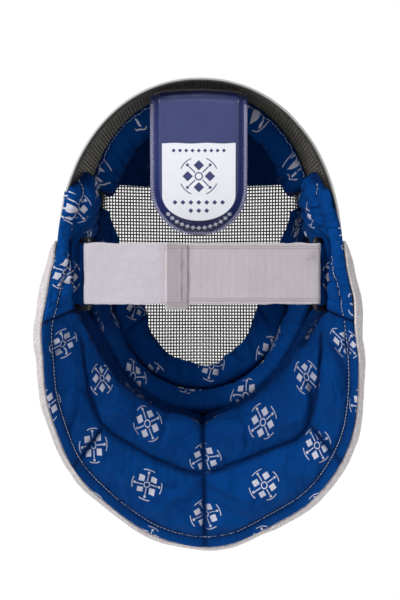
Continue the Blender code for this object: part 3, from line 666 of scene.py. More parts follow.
def trim_finish():
    """Light grey edge strip, with painted shade, near black, on its inner side."""
    made = Finish("grey_trim", Specular_IOR_Level=0.4)
    cloud = made.object.noise(made.object, 30.0, 4.0)
    light = cloud.blend((0.40, 0.39, 0.38), (0.60, 0.59, 0.58))
    colour = made.mark("seam").blend(light, (0.040, 0.038, 0.034))
    return made.paint(colour, 0.36 + cloud * 0.12, cloud, 0.0002)


def plain_finish(name, dark, light, rough, scale, bump, **constants):
    """A moulded or coated surface: two near colours, roughness and small dents all by one noise."""
    made = Finish(name, **constants)
    cloud = made.object.noise(made.object, scale, 4.0)
    fine = made.object.noise(made.object, scale * 14, 2.0)
    return made.paint(cloud.blend(dark, light), rough + cloud * 0.12, fine * 0.6 + cloud, bump)


def canvas_finish():
    """Coarse cream canvas: over and under threads 1.5 mm apart, each cell of its own shade."""
    made = Finish("bib_canvas", Sheen_Weight=0.1)
    step = 0.0015
    u, v = made.u / step, made.v / step
    shade = u.math("FLOOR").chance(v.math("FLOOR"), 0.0)
    over = ((u + v).math("FLOOR") * 0.5).math("FRACT") * 2.0
    hump_u = (u * 3.1416).math("SINE").math("ABSOLUTE")
    hump_v = (v * 3.1416).math("SINE").math("ABSOLUTE")
    height = hump_u * over + hump_v * (1 - over)
    cloud = u.noise(made.object, 45.0, 3.0)
    tone = (shade * 0.55 + height * 0.3 + cloud * 0.25).math("MINIMUM", 1.0)
    colour = tone.blend((0.50, 0.42, 0.43), (0.97, 0.93, 0.94))
    return made.paint(colour, 0.88 + cloud * 0.08, height + shade * 0.6, 0.0004)


def pile_finish():
    """Brushed loop pile: short fuzz from three noises, the longer one as a slow change of tone."""
    made = Finish("loop_pile", Sheen_Weight=0.5, Sheen_Roughness=0.5)
    fuzz = made.object.noise(made.object, 1500.0, 3.0, 0.7)
    tuft = made.object.noise(made.object, 380.0, 3.0, 0.6)
    cloud = made.object.noise(made.object, 40.0, 3.0)
    tone = (fuzz * 0.35 + tuft * 0.35 + cloud * 0.35).math("MINIMUM", 1.0)
    colour = tone.blend((0.37, 0.34, 0.385), (0.70, 0.65, 0.72))
    return made.paint(colour, 0.9 + cloud * 0.08, fuzz * 0.7 + tuft, 0.0006)


def elastic_finish():
    """Woven elastic: upright ribs 1 mm apart, fine cross threads, and selvedge lines near both edges,
    where v is the height from the strap's middle; its folded tab, the first 16 mm, is darker, with a
    painted highlight along its fold."""
    made = Finish("elastic_webbing", Sheen_Weight=0.25, Sheen_Roughness=0.5)
    rib = made.u.ripple(0.00095) * 0.5 + 0.5
    thread = made.v.ripple(0.0007) * 0.5 + 0.5
    edge = made.v.math("ABSOLUTE")
    lines = edge.about(0.0205, 0.0004) + edge.about(0.0222, 0.0004)
    cloud = made.object.noise(made.object, 45.0, 3.0)
    fuzz = made.object.noise(made.object, 1300.0, 2.0)
    tab = made.u.below(0.0165, 0.0006)
    # fold: a painted highlight along the fold of the tab.
    fold = made.u.about(0.0185, 0.0016, 0.0012)
    tone = rib * 0.16 + thread * 0.16 + cloud * 0.25 + fuzz * 0.3
    tone = tone - lines * 0.3 - tab * (fuzz * 0.5 + 0.05) + fold * 0.3
    tone = tone.math("MINIMUM", 1.0).math("MAXIMUM", 0.0)
    colour = tone.blend((0.42, 0.37, 0.40), (0.88, 0.81, 0.86))
    return made.paint(colour, 0.85 + cloud * 0.1, rib + thread * 0.4 + fuzz * 0.5 - lines, 0.0004)


def label_finish():
    """White panel printed in navy: the lining's rosette, a little larger, between rows of diamonds,
    each with its height, half length, pitch and diamond size."""
    made = Finish("printed_panel", Specular_IOR_Level=0.5)
    x, y = made.u, made.v
    ink = motif(x / 1.15, (y - 0.0510) / 1.15)
    for high, reach, pitch, size in ((0.0725, 0.0234, 0.0052, 0.0017), (0.0290, 0.0231, 0.0066, 0.0021),
                                     (0.0220, 0.0099, 0.0066, 0.0021)):
        ink = ink + diamonds(x, y - high, reach, pitch, size)
    cloud = made.object.noise(made.object, 60.0, 3.0)
    panel = cloud.blend((0.78, 0.79, 0.86), (0.88, 0.89, 0.94))
    colour = ink.math("MINIMUM", 1.0).blend(panel, (0.035, 0.04, 0.15))
    return made.paint(colour, 0.34 + cloud * 0.1, cloud, 0.0002)


def tongue_finish():
    """Navy coated cloth: darker where the point value shade is high, which is painted shade at its lower
    end and over its bend and a slight darkening along its edge, with a fine leather-like grain, soft
    scuffs and a row of white diamonds round its lower end, inside the round panel's edge."""
    made = Finish("navy_vinyl", Specular_IOR_Level=0.45, Coat_Roughness=0.16, Coat_Weight=0.6)
    shade = made.mark("shade")
    cloud = made.object.noise(made.object, 55.0, 4.0)
    grain = made.object.noise(made.object, 1600.0, 3.0)
    panel = cloud.blend((0.013, 0.021, 0.115), (0.024, 0.038, 0.175))
    colour = shade.blend(panel, (0.0035, 0.004, 0.040))
    down = TONGUE_HALF_WIDTH - made.v
    out = (made.u * made.u + down * down) ** 0.5
    along = made.u.math("ARCTAN2", down) * 0.0335
    row = diamonds(along, out - 0.0338, 0.0312, 0.0048, 0.0021)
    colour = row.blend(colour, (0.72, 0.73, 0.80))
    return made.paint(colour, 0.30 + cloud * 0.16, grain * 0.35 + cloud, 0.00035)


# ------------------------------------------------------------------ wire

def flat_table():
    """How the face guard's woven sheet lies: for angles and even steps of cloth length out from the
    hub, the shell station, the cloth radius and how far the cloth angle runs ahead of the section
    angle.  On the flanks cloth x and z are lengths across and along; on the wall it runs straight
    out."""
    angles = np.linspace(0, 360, 361)[:, None]
    stations = np.linspace(0, 1, 301)
    turn = np.radians(angles)
    section = shell(angles, stations)
    radius = section[..., 0]
    sin, cos = np.sin(turn), np.cos(turn)
    x, z = radius * sin, HUB_Z - radius * cos
    across = np.sqrt(1 + (FLANK_SLOPE * x / np.sqrt(x**2 + CREASE_ROUNDING**2)) ** 2)
    along = np.sqrt(1 + ((z - NOSE_Z) / PROFILE_RADIUS) ** 2)
    step_r = np.diff(radius, axis=1)
    real = np.hypot(step_r, np.diff(section[..., 1], axis=1))
    front = np.hypot(step_r, np.diff(front_depth(turn, radius), axis=1))
    extra = np.maximum(real - front, 0.0)
    step_u = (step_r * (across[:, 1:] + across[:, :-1]) / 2 + extra) * sin
    step_v = (step_r * (along[:, 1:] + along[:, :-1]) / 2 + extra) * cos
    u = np.pad(np.cumsum(step_u, axis=1), ((0, 0), (1, 0)))
    v = np.pad(np.cumsum(step_v, axis=1), ((0, 0), (1, 0)))
    run = np.pad(np.cumsum(np.hypot(step_u, step_v), axis=1), ((0, 0), (1, 0)))
    even = np.linspace(0, 1, 161)
    station = np.array([np.interp(even * r[-1], r, stations) for r in run])
    out = np.array([np.interp(even * r[-1], r, np.hypot(a, b)) for r, a, b in zip(run, u, v)])
    angle = np.unwrap(np.arctan2(u, v)[:, 1:], axis=0)
    angle = np.concatenate((angle[:, :1], angle), axis=1)
    ahead = np.degrees(angle) - angles
    ahead -= 360 * np.round(ahead / 360)
    ahead = np.array([np.interp(even * r[-1], r, a) for r, a in zip(run, ahead)])
    return station, out, ahead


def read_table(table, angle, part):
    """Table value at an angle in degrees and a part from 0 to 1, straight between its entries."""
    i, j = angle % 360, np.clip(part, 0, 1) * (table.shape[1] - 1)
    i0, j0 = np.minimum(i.astype(int), 359), np.minimum(j.astype(int), table.shape[1] - 2)
    i, j = i - i0, j - j0
    low = table[i0, j0] * (1 - j) + table[i0, j0 + 1] * j
    high = table[i0 + 1, j0] * (1 - j) + table[i0 + 1, j0 + 1] * j
    return low * (1 - i) + high * i


def weave(name, node, points, ups, valid, finish, closed=False):
    """Plain weave of two families of wires over one grid: at each crossing one family passes above
    the sheet and the other below, turn and turn about; the second family is crimped the more.  On a
    closed band the first family runs round and overlaps its start."""
    i, j = np.indices(points.shape[:2])
    side = np.where((i + j) % 2 == 0, 1.0, -1.0)[..., None]
    first = points + ups * side * CRIMP[0]
    second = points - ups * side * CRIMP[1]
    if closed:
        ring, ring_ups, ring_valid = (np.concatenate((a, a[:2])).swapaxes(0, 1)
                                      for a in (first, ups, valid))
        made = (tubes(name + "_round", ring, ring_ups, ring_valid, WIRE / 2, finish),
                tubes(name + "_deep", second, ups, valid, WIRE / 2, finish))
    else:
        second, across_ups, across_valid = (a.swapaxes(0, 1) for a in (second, ups, valid))
        made = (tubes(name + "_upright", first, ups, valid, WIRE / 2, finish),
                tubes(name + "_across", second, across_ups, across_valid, WIRE / 2, finish))
    for piece in made:
        stand_in(piece, node)


def make_face_wires(finish):
    """Face guard: even cloth steps both ways, each crossing found by walking its section angle and
    length to the table's cloth angle and radius; at most 58 uprights and 76 cross wires on each side
    of the hub."""
    station, out, ahead = flat_table()
    u, v = np.meshgrid(np.arange(-58, 59) * PITCH, np.arange(-76, 77) * PITCH, indexing="ij")
    want, reach = np.degrees(np.arctan2(u, v)), np.maximum(np.hypot(u, v), 1e-6)
    angle = want.copy()
    part = reach / read_table(out, angle, np.ones_like(reach))
    for _ in range(14):
        angle = want - read_table(ahead, angle, part)
        full = read_table(out, angle, np.ones_like(reach))
        got = np.where(part < 1, read_table(out, angle, part), full * part)
        part = np.clip(part * reach / np.maximum(got, 1e-6), 0, 1.5)
    edge = 1 + 0.9 * PITCH / read_table(out, angle, np.ones_like(reach))
    at = read_table(station, angle, np.minimum(part, 1.0))
    points = place(angle, shell(angle, at))
    step, tilt = 0.004, 0.5
    turned = place(angle + tilt, shell(angle + tilt, at)) - place(angle - tilt, shell(angle - tilt, at))
    low, high = np.maximum(at - step, 0), np.minimum(at + step, 1.0)
    ups = np.cross(turned, place(angle, shell(angle, high)) - place(angle, shell(angle, low)))
    ups = unit(ups * np.sign(ups[..., 1:2] + 1e-12))
    ups[reach < 0.004] = (0.0, 1.0, 0.0)
    weave("face_wire", "face_mesh", points, ups, part < edge, finish)


def make_side_wires(finish):
    """Side band: wires in depth at even steps round the band, and wires round it at even steps in
    from the rim, which end where the band does."""
    fine = np.linspace(0, 360, 1441)
    run = lengths(place(fine, shell(fine, np.full_like(fine, 1.6))))
    count = 2 * round(run[-1] / PITCH / 2)
    angle = np.interp(np.arange(count) * run[-1] / count, run, fine)[:, None]
    span = np.linalg.norm(shell(angle, 2.0) - shell(angle, 1.0), axis=-1)
    station = 2.0 - (np.arange(36) * PITCH + 0.0006) / span
    valid = station > 1 - 0.9 * PITCH / span
    points = place(angle, shell(angle, np.maximum(station, 1.0)))
    turn = np.broadcast_to(np.radians(angle), station.shape)
    ups = np.stack((np.sin(turn), 0 * turn, -np.cos(turn)), axis=-1)
    weave("side_wire", "side_mesh", points, ups, valid, finish, closed=True)


def make_rim_trim(finish):
    """Edge strip: a U channel section with round corners, carried round the rim and softly uneven.
    Its profile is a list of (across, along), from one side of the channel over its back to the other
    and back inside its slot."""
    angles = np.linspace(0, 360, 288, endpoint=False)
    curves = shell(angles[:, None], (1.9, 2.0))
    edge = curves[:, 1]
    back = unit(edge - curves[:, 0])
    out = quarter_turn(back)
    half, slot, leg, corner = TRIM_THICK / 2, WIRE / 2 + 0.0005, -0.008, -0.004
    turn = np.radians(np.linspace(0, 180, 9))
    arch = [(half * math.cos(t), 0.0004 + 0.0021 * math.sin(t)) for t in turn]
    profile = [(half, leg), (half, corner)] + arch + [(-half, corner), (-half, leg), (-slot, leg)]
    profile += [(-slot, 0.0002), (slot, 0.0002), (slot, leg)]
    sections = np.stack([edge + out * across + back * along for across, along in profile], axis=1)
    points = place(angles[:, None], sections)
    points = points + 0.00012 * uneven(points, 0.03, 5)[..., None]
    rows, cols = points.shape[:2]
    quads, row, col = grid_quads(rows, cols, wrap_rows=True, wrap_cols=True)
    flat = np.stack((row * 0.0026, col * 0.0012), axis=-1)
    # Painted shade: the channel's inner side is marked to turn near black in its finish.
    inner = np.broadcast_to([smooth(-across, -0.0006, 0.0008) for across, _ in profile], (rows, cols))
    piece = add_mesh("edge_trim", points.reshape(-1, 3), quads, finish, flat, {"seam": inner}, sharp=35)
    stand_in(piece, "rim_trim")


def make_join_strip(finish):
    """Folded strip over the join: a thin band that follows the shell's outside over the bend."""
    angles = np.linspace(0, 360, 288, endpoint=False)
    join = shell(angles[:, None], (0.995, 1.0, 1.005))
    along = unit(join[:, 2] - join[:, 0])
    half = 0.0058
    t = np.array((-half, -0.0035, -0.0012, 0.0012, 0.0035, half))
    line = join[:, 1:2] + along[:, None] * t[:, None]
    out = quarter_turn(along)[:, None]
    inner = place(angles[:, None], line + out * 0.0019)
    outer = place(angles[:, None], line + out * (0.0027 + 0.0004 * np.cos(t / half * 1.2))[:, None])
    flat = np.stack(np.meshgrid(np.arange(288) * 0.0026, t, indexing="ij"), axis=-1)
    piece = slab("join_strip", outer, inner, flat, finish, wrap=True, sharp=35)
    stand_in(piece, "mesh_join")


# ------------------------------------------------------------------ padded linings

def settled(seen, inward, near, step, shrink, push):
    """Cloth simulation of a pad's outer face.  Every step-th point of its grid is a cloth vertex, held
    where it lies near one of the seams and along the borders.  The cloth is cut larger by the
    share shrink and pushed outward by its filling, so it puckers.  Returns how far each point moved
    along inward, the direction of the pad's thickness."""
    rows, cols = seen.shape[0] // step + 1, seen.shape[1] // step + 1
    start, way = reread(seen, rows, cols), reread(inward, rows, cols)
    held = reread(near[..., None], rows, cols)[..., 0] < HELD_NEAR
    held[[0, -1]] = held[:, [0, -1]] = True
    quads, _, _ = grid_quads(rows, cols)
    facing = np.sum(normals_of(start) * way) > 0
    mesh = bpy.data.meshes.new("settling")
    quads = quads if facing else quads[:, ::-1]
    mesh.from_pydata(start.reshape(-1, 3).tolist(), [], quads.tolist())
    sheet = linked("settling", mesh)
    sheet.vertex_groups.new(name="held").add(np.flatnonzero(held).tolist(), 1.0, "REPLACE")
    cloth = sheet.modifiers.new("cloth", "CLOTH")
    cloth.settings.quality = 6
    cloth.settings.mass = 0.15
    cloth.settings.tension_stiffness = cloth.settings.compression_stiffness = 12.0
    cloth.settings.shear_stiffness = 4.0
    cloth.settings.bending_stiffness = 0.05
    cloth.settings.vertex_group_mass = "held"
    cloth.settings.shrink_min = cloth.settings.shrink_max = -shrink
    cloth.settings.use_pressure = True
    cloth.settings.uniform_pressure_force = push
    cloth.settings.effector_weights.gravity = 0
    cloth.point_cache.frame_end = SETTLING_FRAMES
    for count in range(SETTLING_FRAMES):
        bpy.context.scene.frame_set(count + 1)
    ended = sheet.evaluated_get(bpy.context.evaluated_depsgraph_get()).data
    moved = np.empty(start.size)
    ended.vertices.foreach_get("co", moved)
    moved = moved.reshape(start.shape) - start
    bpy.data.objects.remove(sheet)
    bpy.data.meshes.remove(mesh)
    bpy.context.scene.frame_set(1)
    i, j = np.indices((rows, cols))
    border = np.minimum(np.minimum(i, rows - 1 - i), np.minimum(j, cols - 1 - j))
    fade = smooth(border, 0, 4 if step > 1 else 8)
    return reread((np.sum(moved * way, axis=-1) * fade)[..., None], *seen.shape[:2])[..., 0]


def padded_piece(name, node, angles, base, thick, flat, finish, seam, near, step=2, shrink=0.06, push=0.3):
    """A lining from its outer curves and its thickness along their inward normals, puckered by a cloth
    simulation: near is the distance to its seams, and the mark before near is painted shade, which
    darkens its seams, creases and hollows."""
    angles = angles if angles.ndim == 2 else angles[:, None]
    normal = section_normals(base)
    hidden = place(angles, base)
    seen = place(angles, base - normal * thick[..., None])
    moved = settled(seen, (seen - hidden) / thick[..., None], near, step, shrink, push)
    thick = np.maximum(thick + np.clip(moved, -MOST_MOVED, MOST_MOVED), THINNEST)
    seen = place(angles, base - normal * thick[..., None])
    piece = stand_in(slab(name, seen, hidden, flat, finish, marks={"seam": seam}), node)
    return seen


def rolled(count, edge, middle):
    """Thickness across a roll: edge plus the square root of the sine across its width."""
    return edge + (middle - edge) * np.sin(np.pi * np.linspace(0, 1, count)) ** 0.5


def piece_flat(points, start):
    """Cloth coordinates of a grid: length along its middle line, and length across from it."""
    middle = points.shape[1] // 2
    along = lengths(points[:, middle])
    across = lengths(points)
    across = across - across[:, middle:middle + 1]
    return np.stack((np.broadcast_to(along[:, None], across.shape) + start, across + start * 0.37), axis=-1)


def stations_at(angles, radii):
    """Face guard stations of the given radii."""
    return radii / loop_radius(np.radians(angles), *JOIN)


# Creases across the chin pad: angle, depth, width and how far they slant, in degrees.
CHIN_CREASES = (
    (-52, 0.0022, 1.6, 6),
    (-44, 0.0016, 1.2, -4),
    (-18, 0.0013, 1.4, 5),
    (9, 0.0018, 1.5, -6),
    (21, 0.0022, 1.4, 5),
    (30, 0.0016, 1.3, -3),
    (47, 0.0019, 1.6, -6),
    (66, 0.0013, 1.5, 4),
    (-70, 0.0014, 1.6, -5),
    (84, 0.0012, 1.5, 3),
    (-88, 0.0012, 1.5, 4),
)


def make_chin_pad(finish):
    """Wide roll round the lower face opening: sine-shaped thickness with creases across it, of which
    the deep ones reach the opening, and a slightly wavy opening edge."""
    angles = np.linspace(-116.5, 116.5, 300)
    degrees = angles[:, None]
    wave = 0.0011 * np.sin(np.radians(angles) * 11 + 0.7) + 0.0009 * np.sin(np.radians(angles) * 17)
    first = stations_at(angles, column(CHIN_ROWS, 1, angles) + wave * smooth(116 - np.abs(angles), 0, 20))
    last = stations_at(angles, column(CHIN_ROWS, 2, angles))
    count = 40
    t = np.linspace(0, 1, count)[None, :]
    base = shell_side(angles, first[:, None] * (1 - t) + last[:, None] * t, LINING_GAP)
    width = (column(CHIN_ROWS, 2, angles) - column(CHIN_ROWS, 1, angles)) / 0.025
    thick = rolled(count, 0.0022, 0.0128)[None, :] * np.clip(width, 0.3, 1.0)[:, None]
    spot = place(degrees, base)
    crease = np.zeros_like(thick)
    for at, depth, wide, slant in CHIN_CREASES:
        long, short = 1 - smooth(t, 0.55, 0.95), smooth(t, 0.02, 0.3) * (1 - smooth(t, 0.75, 1.0))
        fade = long if depth >= 0.0017 else short
        crease += depth * bell(degrees - (at + slant * (t - 0.5)), wide) * fade
    pucker = 0.00035 * np.sin(degrees * 1.9 + 3 * uneven(spot, 0.05, 2))
    pucker = pucker * (0.4 * fall(t, 0.14) + fall(1 - t, 0.14))
    thick = np.maximum(thick * (1 + 0.07 * uneven(spot, 0.045, 3)) - crease + pucker, THINNEST)
    # Painted shade along both edges of the roll and in its creases.
    seam = np.clip(fall(t, 0.03) * 0.4 + fall(1 - t, 0.05) + crease / 0.004, 0, 1)
    near = 0.02 - 0.02 * np.clip(crease / 0.0012, 0, 1)
    flat = piece_flat(spot, 0.31)
    padded_piece("chin_roll", "chin_pad", angles, base, thick, flat, finish, seam, near, step=1)


# Creases across the jaw roll: angle and depth.
JAW_CREASES = ((-38, 0.0011), (-22, 0.0009), (17, 0.0012), (33, 0.0014), (52, 0.001), (-57, 0.0011))


def make_jaw_roll(finish):
    """Narrower roll in the corner of the guard: a curve through three points of each section, with a
    sine-shaped thickness and small puckers along both seams."""
    angles = np.linspace(-91.5, 91.5, 260)
    degrees = angles[:, None]
    start = shell_side(angles, stations_at(angles, column(JAW_ROWS, 1, angles))[:, None], LINING_GAP)[:, 0]
    stop = np.stack((column(JAW_ROWS, 2, angles), column(JAW_ROWS, 3, angles)), axis=1)
    count = 30
    base = through(np.stack((start, (start + stop) / 2, stop), axis=1), count)
    t = np.linspace(0, 1, count)[None, :]
    spot = place(degrees, base)
    thick = rolled(count, 0.002, 0.0092)[None, :] * (1 + 0.09 * uneven(spot, 0.04, 11))
    gather = np.sin(degrees * 2.3 + 2 * uneven(spot, 0.05, 4))
    thick = thick + 0.0004 * gather * (fall(t, 0.2) + fall(1 - t, 0.2))
    for at, depth in JAW_CREASES:
        thick = thick - depth * bell(degrees - at - 5 * (t - 0.5), 1.3)
    thick = np.maximum(thick, THINNEST)
    # Painted shade along both edges of the roll.
    seam = np.clip(fall(t, 0.06) + fall(1 - t, 0.05), 0, 1) + 0 * thick
    near = np.full(thick.shape, 0.02)
    flat = piece_flat(spot, 0.77)
    padded_piece("jaw_tube", "jaw_roll", angles, base, thick, flat, finish, seam, near, step=1, shrink=0.05)


def hem_points(angles):
    """Middle of the bib cloth at its widest, and at its hem, where it turns in."""
    turn = np.radians(angles)
    wave = np.sin(turn * 9 + 1.2) + 0.8 * np.sin(turn * 21 - 0.5)
    wave = 0.0008 * wave * smooth(80 - np.abs(angles), 0, 20)
    wide_r = column(BIB_ROWS, 5, angles, side=6) - BIB_CLOTH / 2 + wave
    hem_y, turn_in = column(BIB_ROWS, 7, angles), column(BIB_ROWS, 8, angles)
    wide = np.stack((wide_r, hem_y + HEM_TURN * turn_in), axis=1)
    return wide, np.stack((wide_r - turn_in, hem_y), axis=1)


def lining_base(angles, count):
    """Outer face of the lining, a smooth curve from its front edge past the rim to its free edge."""
    front = shell_side(angles, column(LINING_ROWS, 1, angles)[:, None], LINING_GAP)[:, 0]
    leave = shell_side(angles, column(LINING_ROWS, 2, angles)[:, None], LINING_GAP)[:, 0]
    inside = np.stack((column(LINING_ROWS, 3, angles), column(LINING_ROWS, 4, angles)), axis=1)
    behind = np.stack((column(LINING_ROWS, 5, angles), column(LINING_ROWS, 6, angles)), axis=1)
    at_bib = hem_points(angles)[1] - (BIB_CLOTH / 2 + 0.0004, 0.0004)
    high = smooth(np.abs(angles), 96, 120)[:, None] * np.where(angles < 0, 0.0020, 0.0055)[:, None]
    behind = behind - high * (0.6, 0.0)
    at_rim = behind + (0.0042, -0.0032) - high * (0.4, -0.1)
    swap = smooth(np.abs(angles), BIB_END_ANGLE - 3, BIB_END_ANGLE - 1)[:, None]
    edge = at_bib * (1 - swap) + at_rim * swap
    return through(np.stack((front, leave, inside, behind, (behind + edge) / 2, edge), axis=1), count)


def edge_run(points):
    """Length across the cloth from each point to the free edge."""
    run = lengths(points)
    return run[:, -1:] - run


def bib_seams(degrees, radius, rim_run):
    """The bib lining's seams: the distance of each grid point from each of them, and its run along that
    one.  They are the long curved one, the straight ones, the side seams and the stitched hem."""
    turn = np.radians(degrees)
    around = radius * turn
    behind = smooth(np.arange(radius.shape[1])[None, :], 36, 48)
    gaps = [np.abs(radius - column(ARC_SEAM, 1, degrees, side=2)) + 0.03 * (1 - behind)]
    runs = [around]
    for at, low, high in RADIAL_SEAMS:
        lane = at + 3.0 * (radius - low) * np.sign(at) * (abs(at) > 5) * 10
        off = np.maximum(low - radius, 0) + np.maximum(radius - high, 0)
        gaps.append(np.abs(np.radians(degrees - lane)) * radius + off)
        runs.append(radius)
    gaps.append(np.radians(SIDE_SEAM_ANGLE - np.abs(degrees)) * radius)
    runs.append(radius)
    gaps.append(np.abs(rim_run - BIB_STITCH))
    runs.append(around)
    return gaps, runs


def bib_folds(x, z):
    """Soft folds of the bib lining: along a slightly bent line between two points, a bell across it,
    faded out towards both ends."""
    folded = np.zeros_like(x)
    for *ends, high, wide in FOLDS:
        turn, radius = np.radians(ends[::2]), np.array(ends[1::2])
        (x0, x1), (z0, z1) = radius * np.sin(turn), -radius * np.cos(turn)
        way = np.array((x1 - x0, z1 - z0))
        long = np.linalg.norm(way)
        t = ((x - x0) * way[0] + (z - z0) * way[1]) / (way @ way)
        bend = 0.10 * np.sin(np.pi * np.clip(t, 0, 1)) * long
        off = ((x - x0) * way[1] - (z - z0) * way[0]) / long + bend
        folded += 1.7 * high * bell(off, wide) * bell(np.maximum(np.abs(t - 0.5) - 0.25, 0), 0.22)
    return folded


def make_bib_lining(finish, thread):
    """Quilted bib: between its seams the pad swells as 1 - exp(-distance / 12 mm); along them it dips
    and puckers; folds are ridges and grooves along short lines; the hem beyond the stitches is flat."""
    angles = np.linspace(-SIDE_SEAM_ANGLE + SEAM_GAP, SIDE_SEAM_ANGLE - SEAM_GAP, 250)
    count = 110
    base = lining_base(angles, count)
    spot = place(angles[:, None], base)
    radius = base[..., 0]
    degrees = angles[:, None] + 0 * radius
    turn = np.radians(degrees)
    rim_run = edge_run(spot)
    gaps, runs = bib_seams(degrees, radius, rim_run)
    near = np.min(gaps, axis=0)
    # Thickness: a crown across, swollen between the seams and dipped in them, then puckers square to
    # each seam, folds, and the flat, gathered hem.
    swell = 1 - fall(near, 0.012)
    dip = bell(near, 0.0016)
    step = np.arange(count)[None, :]
    thick_mid = column(LINING_ROWS, 7, angles)[:, None]
    crown = np.maximum(rolled(count, 0.0026, 1.0)[None, :], np.where(step < 30, 0.78, 0.8))
    thick = thick_mid * crown * (0.26 + swell) - 0.0014 * dip
    pucker = np.zeros_like(thick)
    for gap, run in zip(gaps, runs):
        phase = 2 * np.pi * run / 0.0078 + 2.5 * uneven(spot, 0.03, 8)
        pucker += 0.00065 * np.sin(phase) * fall(gap, 0.009) * smooth(gap, 0.0, 0.0015)
    folded = bib_folds(spot[..., 0], spot[..., 2] - HUB_Z)
    thick = thick + folded + pucker + 0.0007 * uneven(spot, 0.06, 21) * swell
    hem = 1 - smooth(rim_run, 0.0085, 0.0112)
    gather = np.sin(2 * np.pi * runs[0] / 0.007 + 2 * uneven(spot, 0.04, 9))
    thick = thick * (1 - hem) + hem * (0.0022 + 0.0005 * gather)
    thick = np.maximum(thick, THINNEST)
    # Cloth coordinates: lengths over the seen surface, fanned by the angle, with 183 mm at the rim.
    middle = base - section_normals(base) * (thick_mid * crown)[..., None]
    flat_r = lengths(place(angles[:, None], middle))
    flat_r = flat_r - flat_r[:, 72:73] + 0.183
    flat = np.stack((flat_r * np.sin(turn) + 0.4, -flat_r * np.cos(turn) + 0.4), axis=-1)
    # Painted shade: in the seams and grooves, where the lining goes under the jaw roll, and faintly over
    # its upper part, deeper in the mask.
    seam = np.clip(dip * 0.9 + np.maximum(-folded, 0) / 0.005 + 0.62 * fall(near, 0.006) - 0.16, 0, 1)
    seam = np.maximum(seam, 0.75 * (1 - smooth(step, 22, 42)))
    seam = np.maximum(seam, 0.22 * (1 - smooth(step, 64, 84)))
    seen = padded_piece("bib_quilt", "bib_lining", angles, base, thick, flat, finish, seam, near, push=0.5)
    line_at(seen, rim_run, BIB_STITCH, "bib_quilt_stitches", thread)


def line_at(seen, run, value, name, thread):
    """Stitches along the line where the run to the free edge, which falls along each row of a grid,
    passes a value, one for all rows or one for each."""
    value = np.broadcast_to(value, len(run))
    after = np.maximum(np.argmax(run <= value[:, None], axis=1), 1)
    rows = np.arange(len(after))
    high, low = run[rows, after - 1], run[rows, after]
    t = np.clip((high - value) / np.maximum(high - low, 1e-9), 0, 1)[:, None]
    path = seen[rows, after - 1] * (1 - t) + seen[rows, after] * t
    up = normals_of(seen)[rows, after]
    to_head = np.array((0.0, -0.05, HUB_Z)) - path
    up = up * np.sign(np.sum(up * to_head, axis=1, keepdims=True) + 1e-9)
    piece = stitches(name, path, up, STITCH_STEP, STITCH_STEP * 0.86, 0.00023, thread)


# Creases across the side linings: angle, depth and width in degrees.
SIDE_CREASES = (
    (104, 0.0022, 1.3),
    (113, 0.0016, 1.1),
    (97, 0.0020, 1.2),
    (72, 0.0014, 1.3),
    (80, 0.0010, 1.2),
)


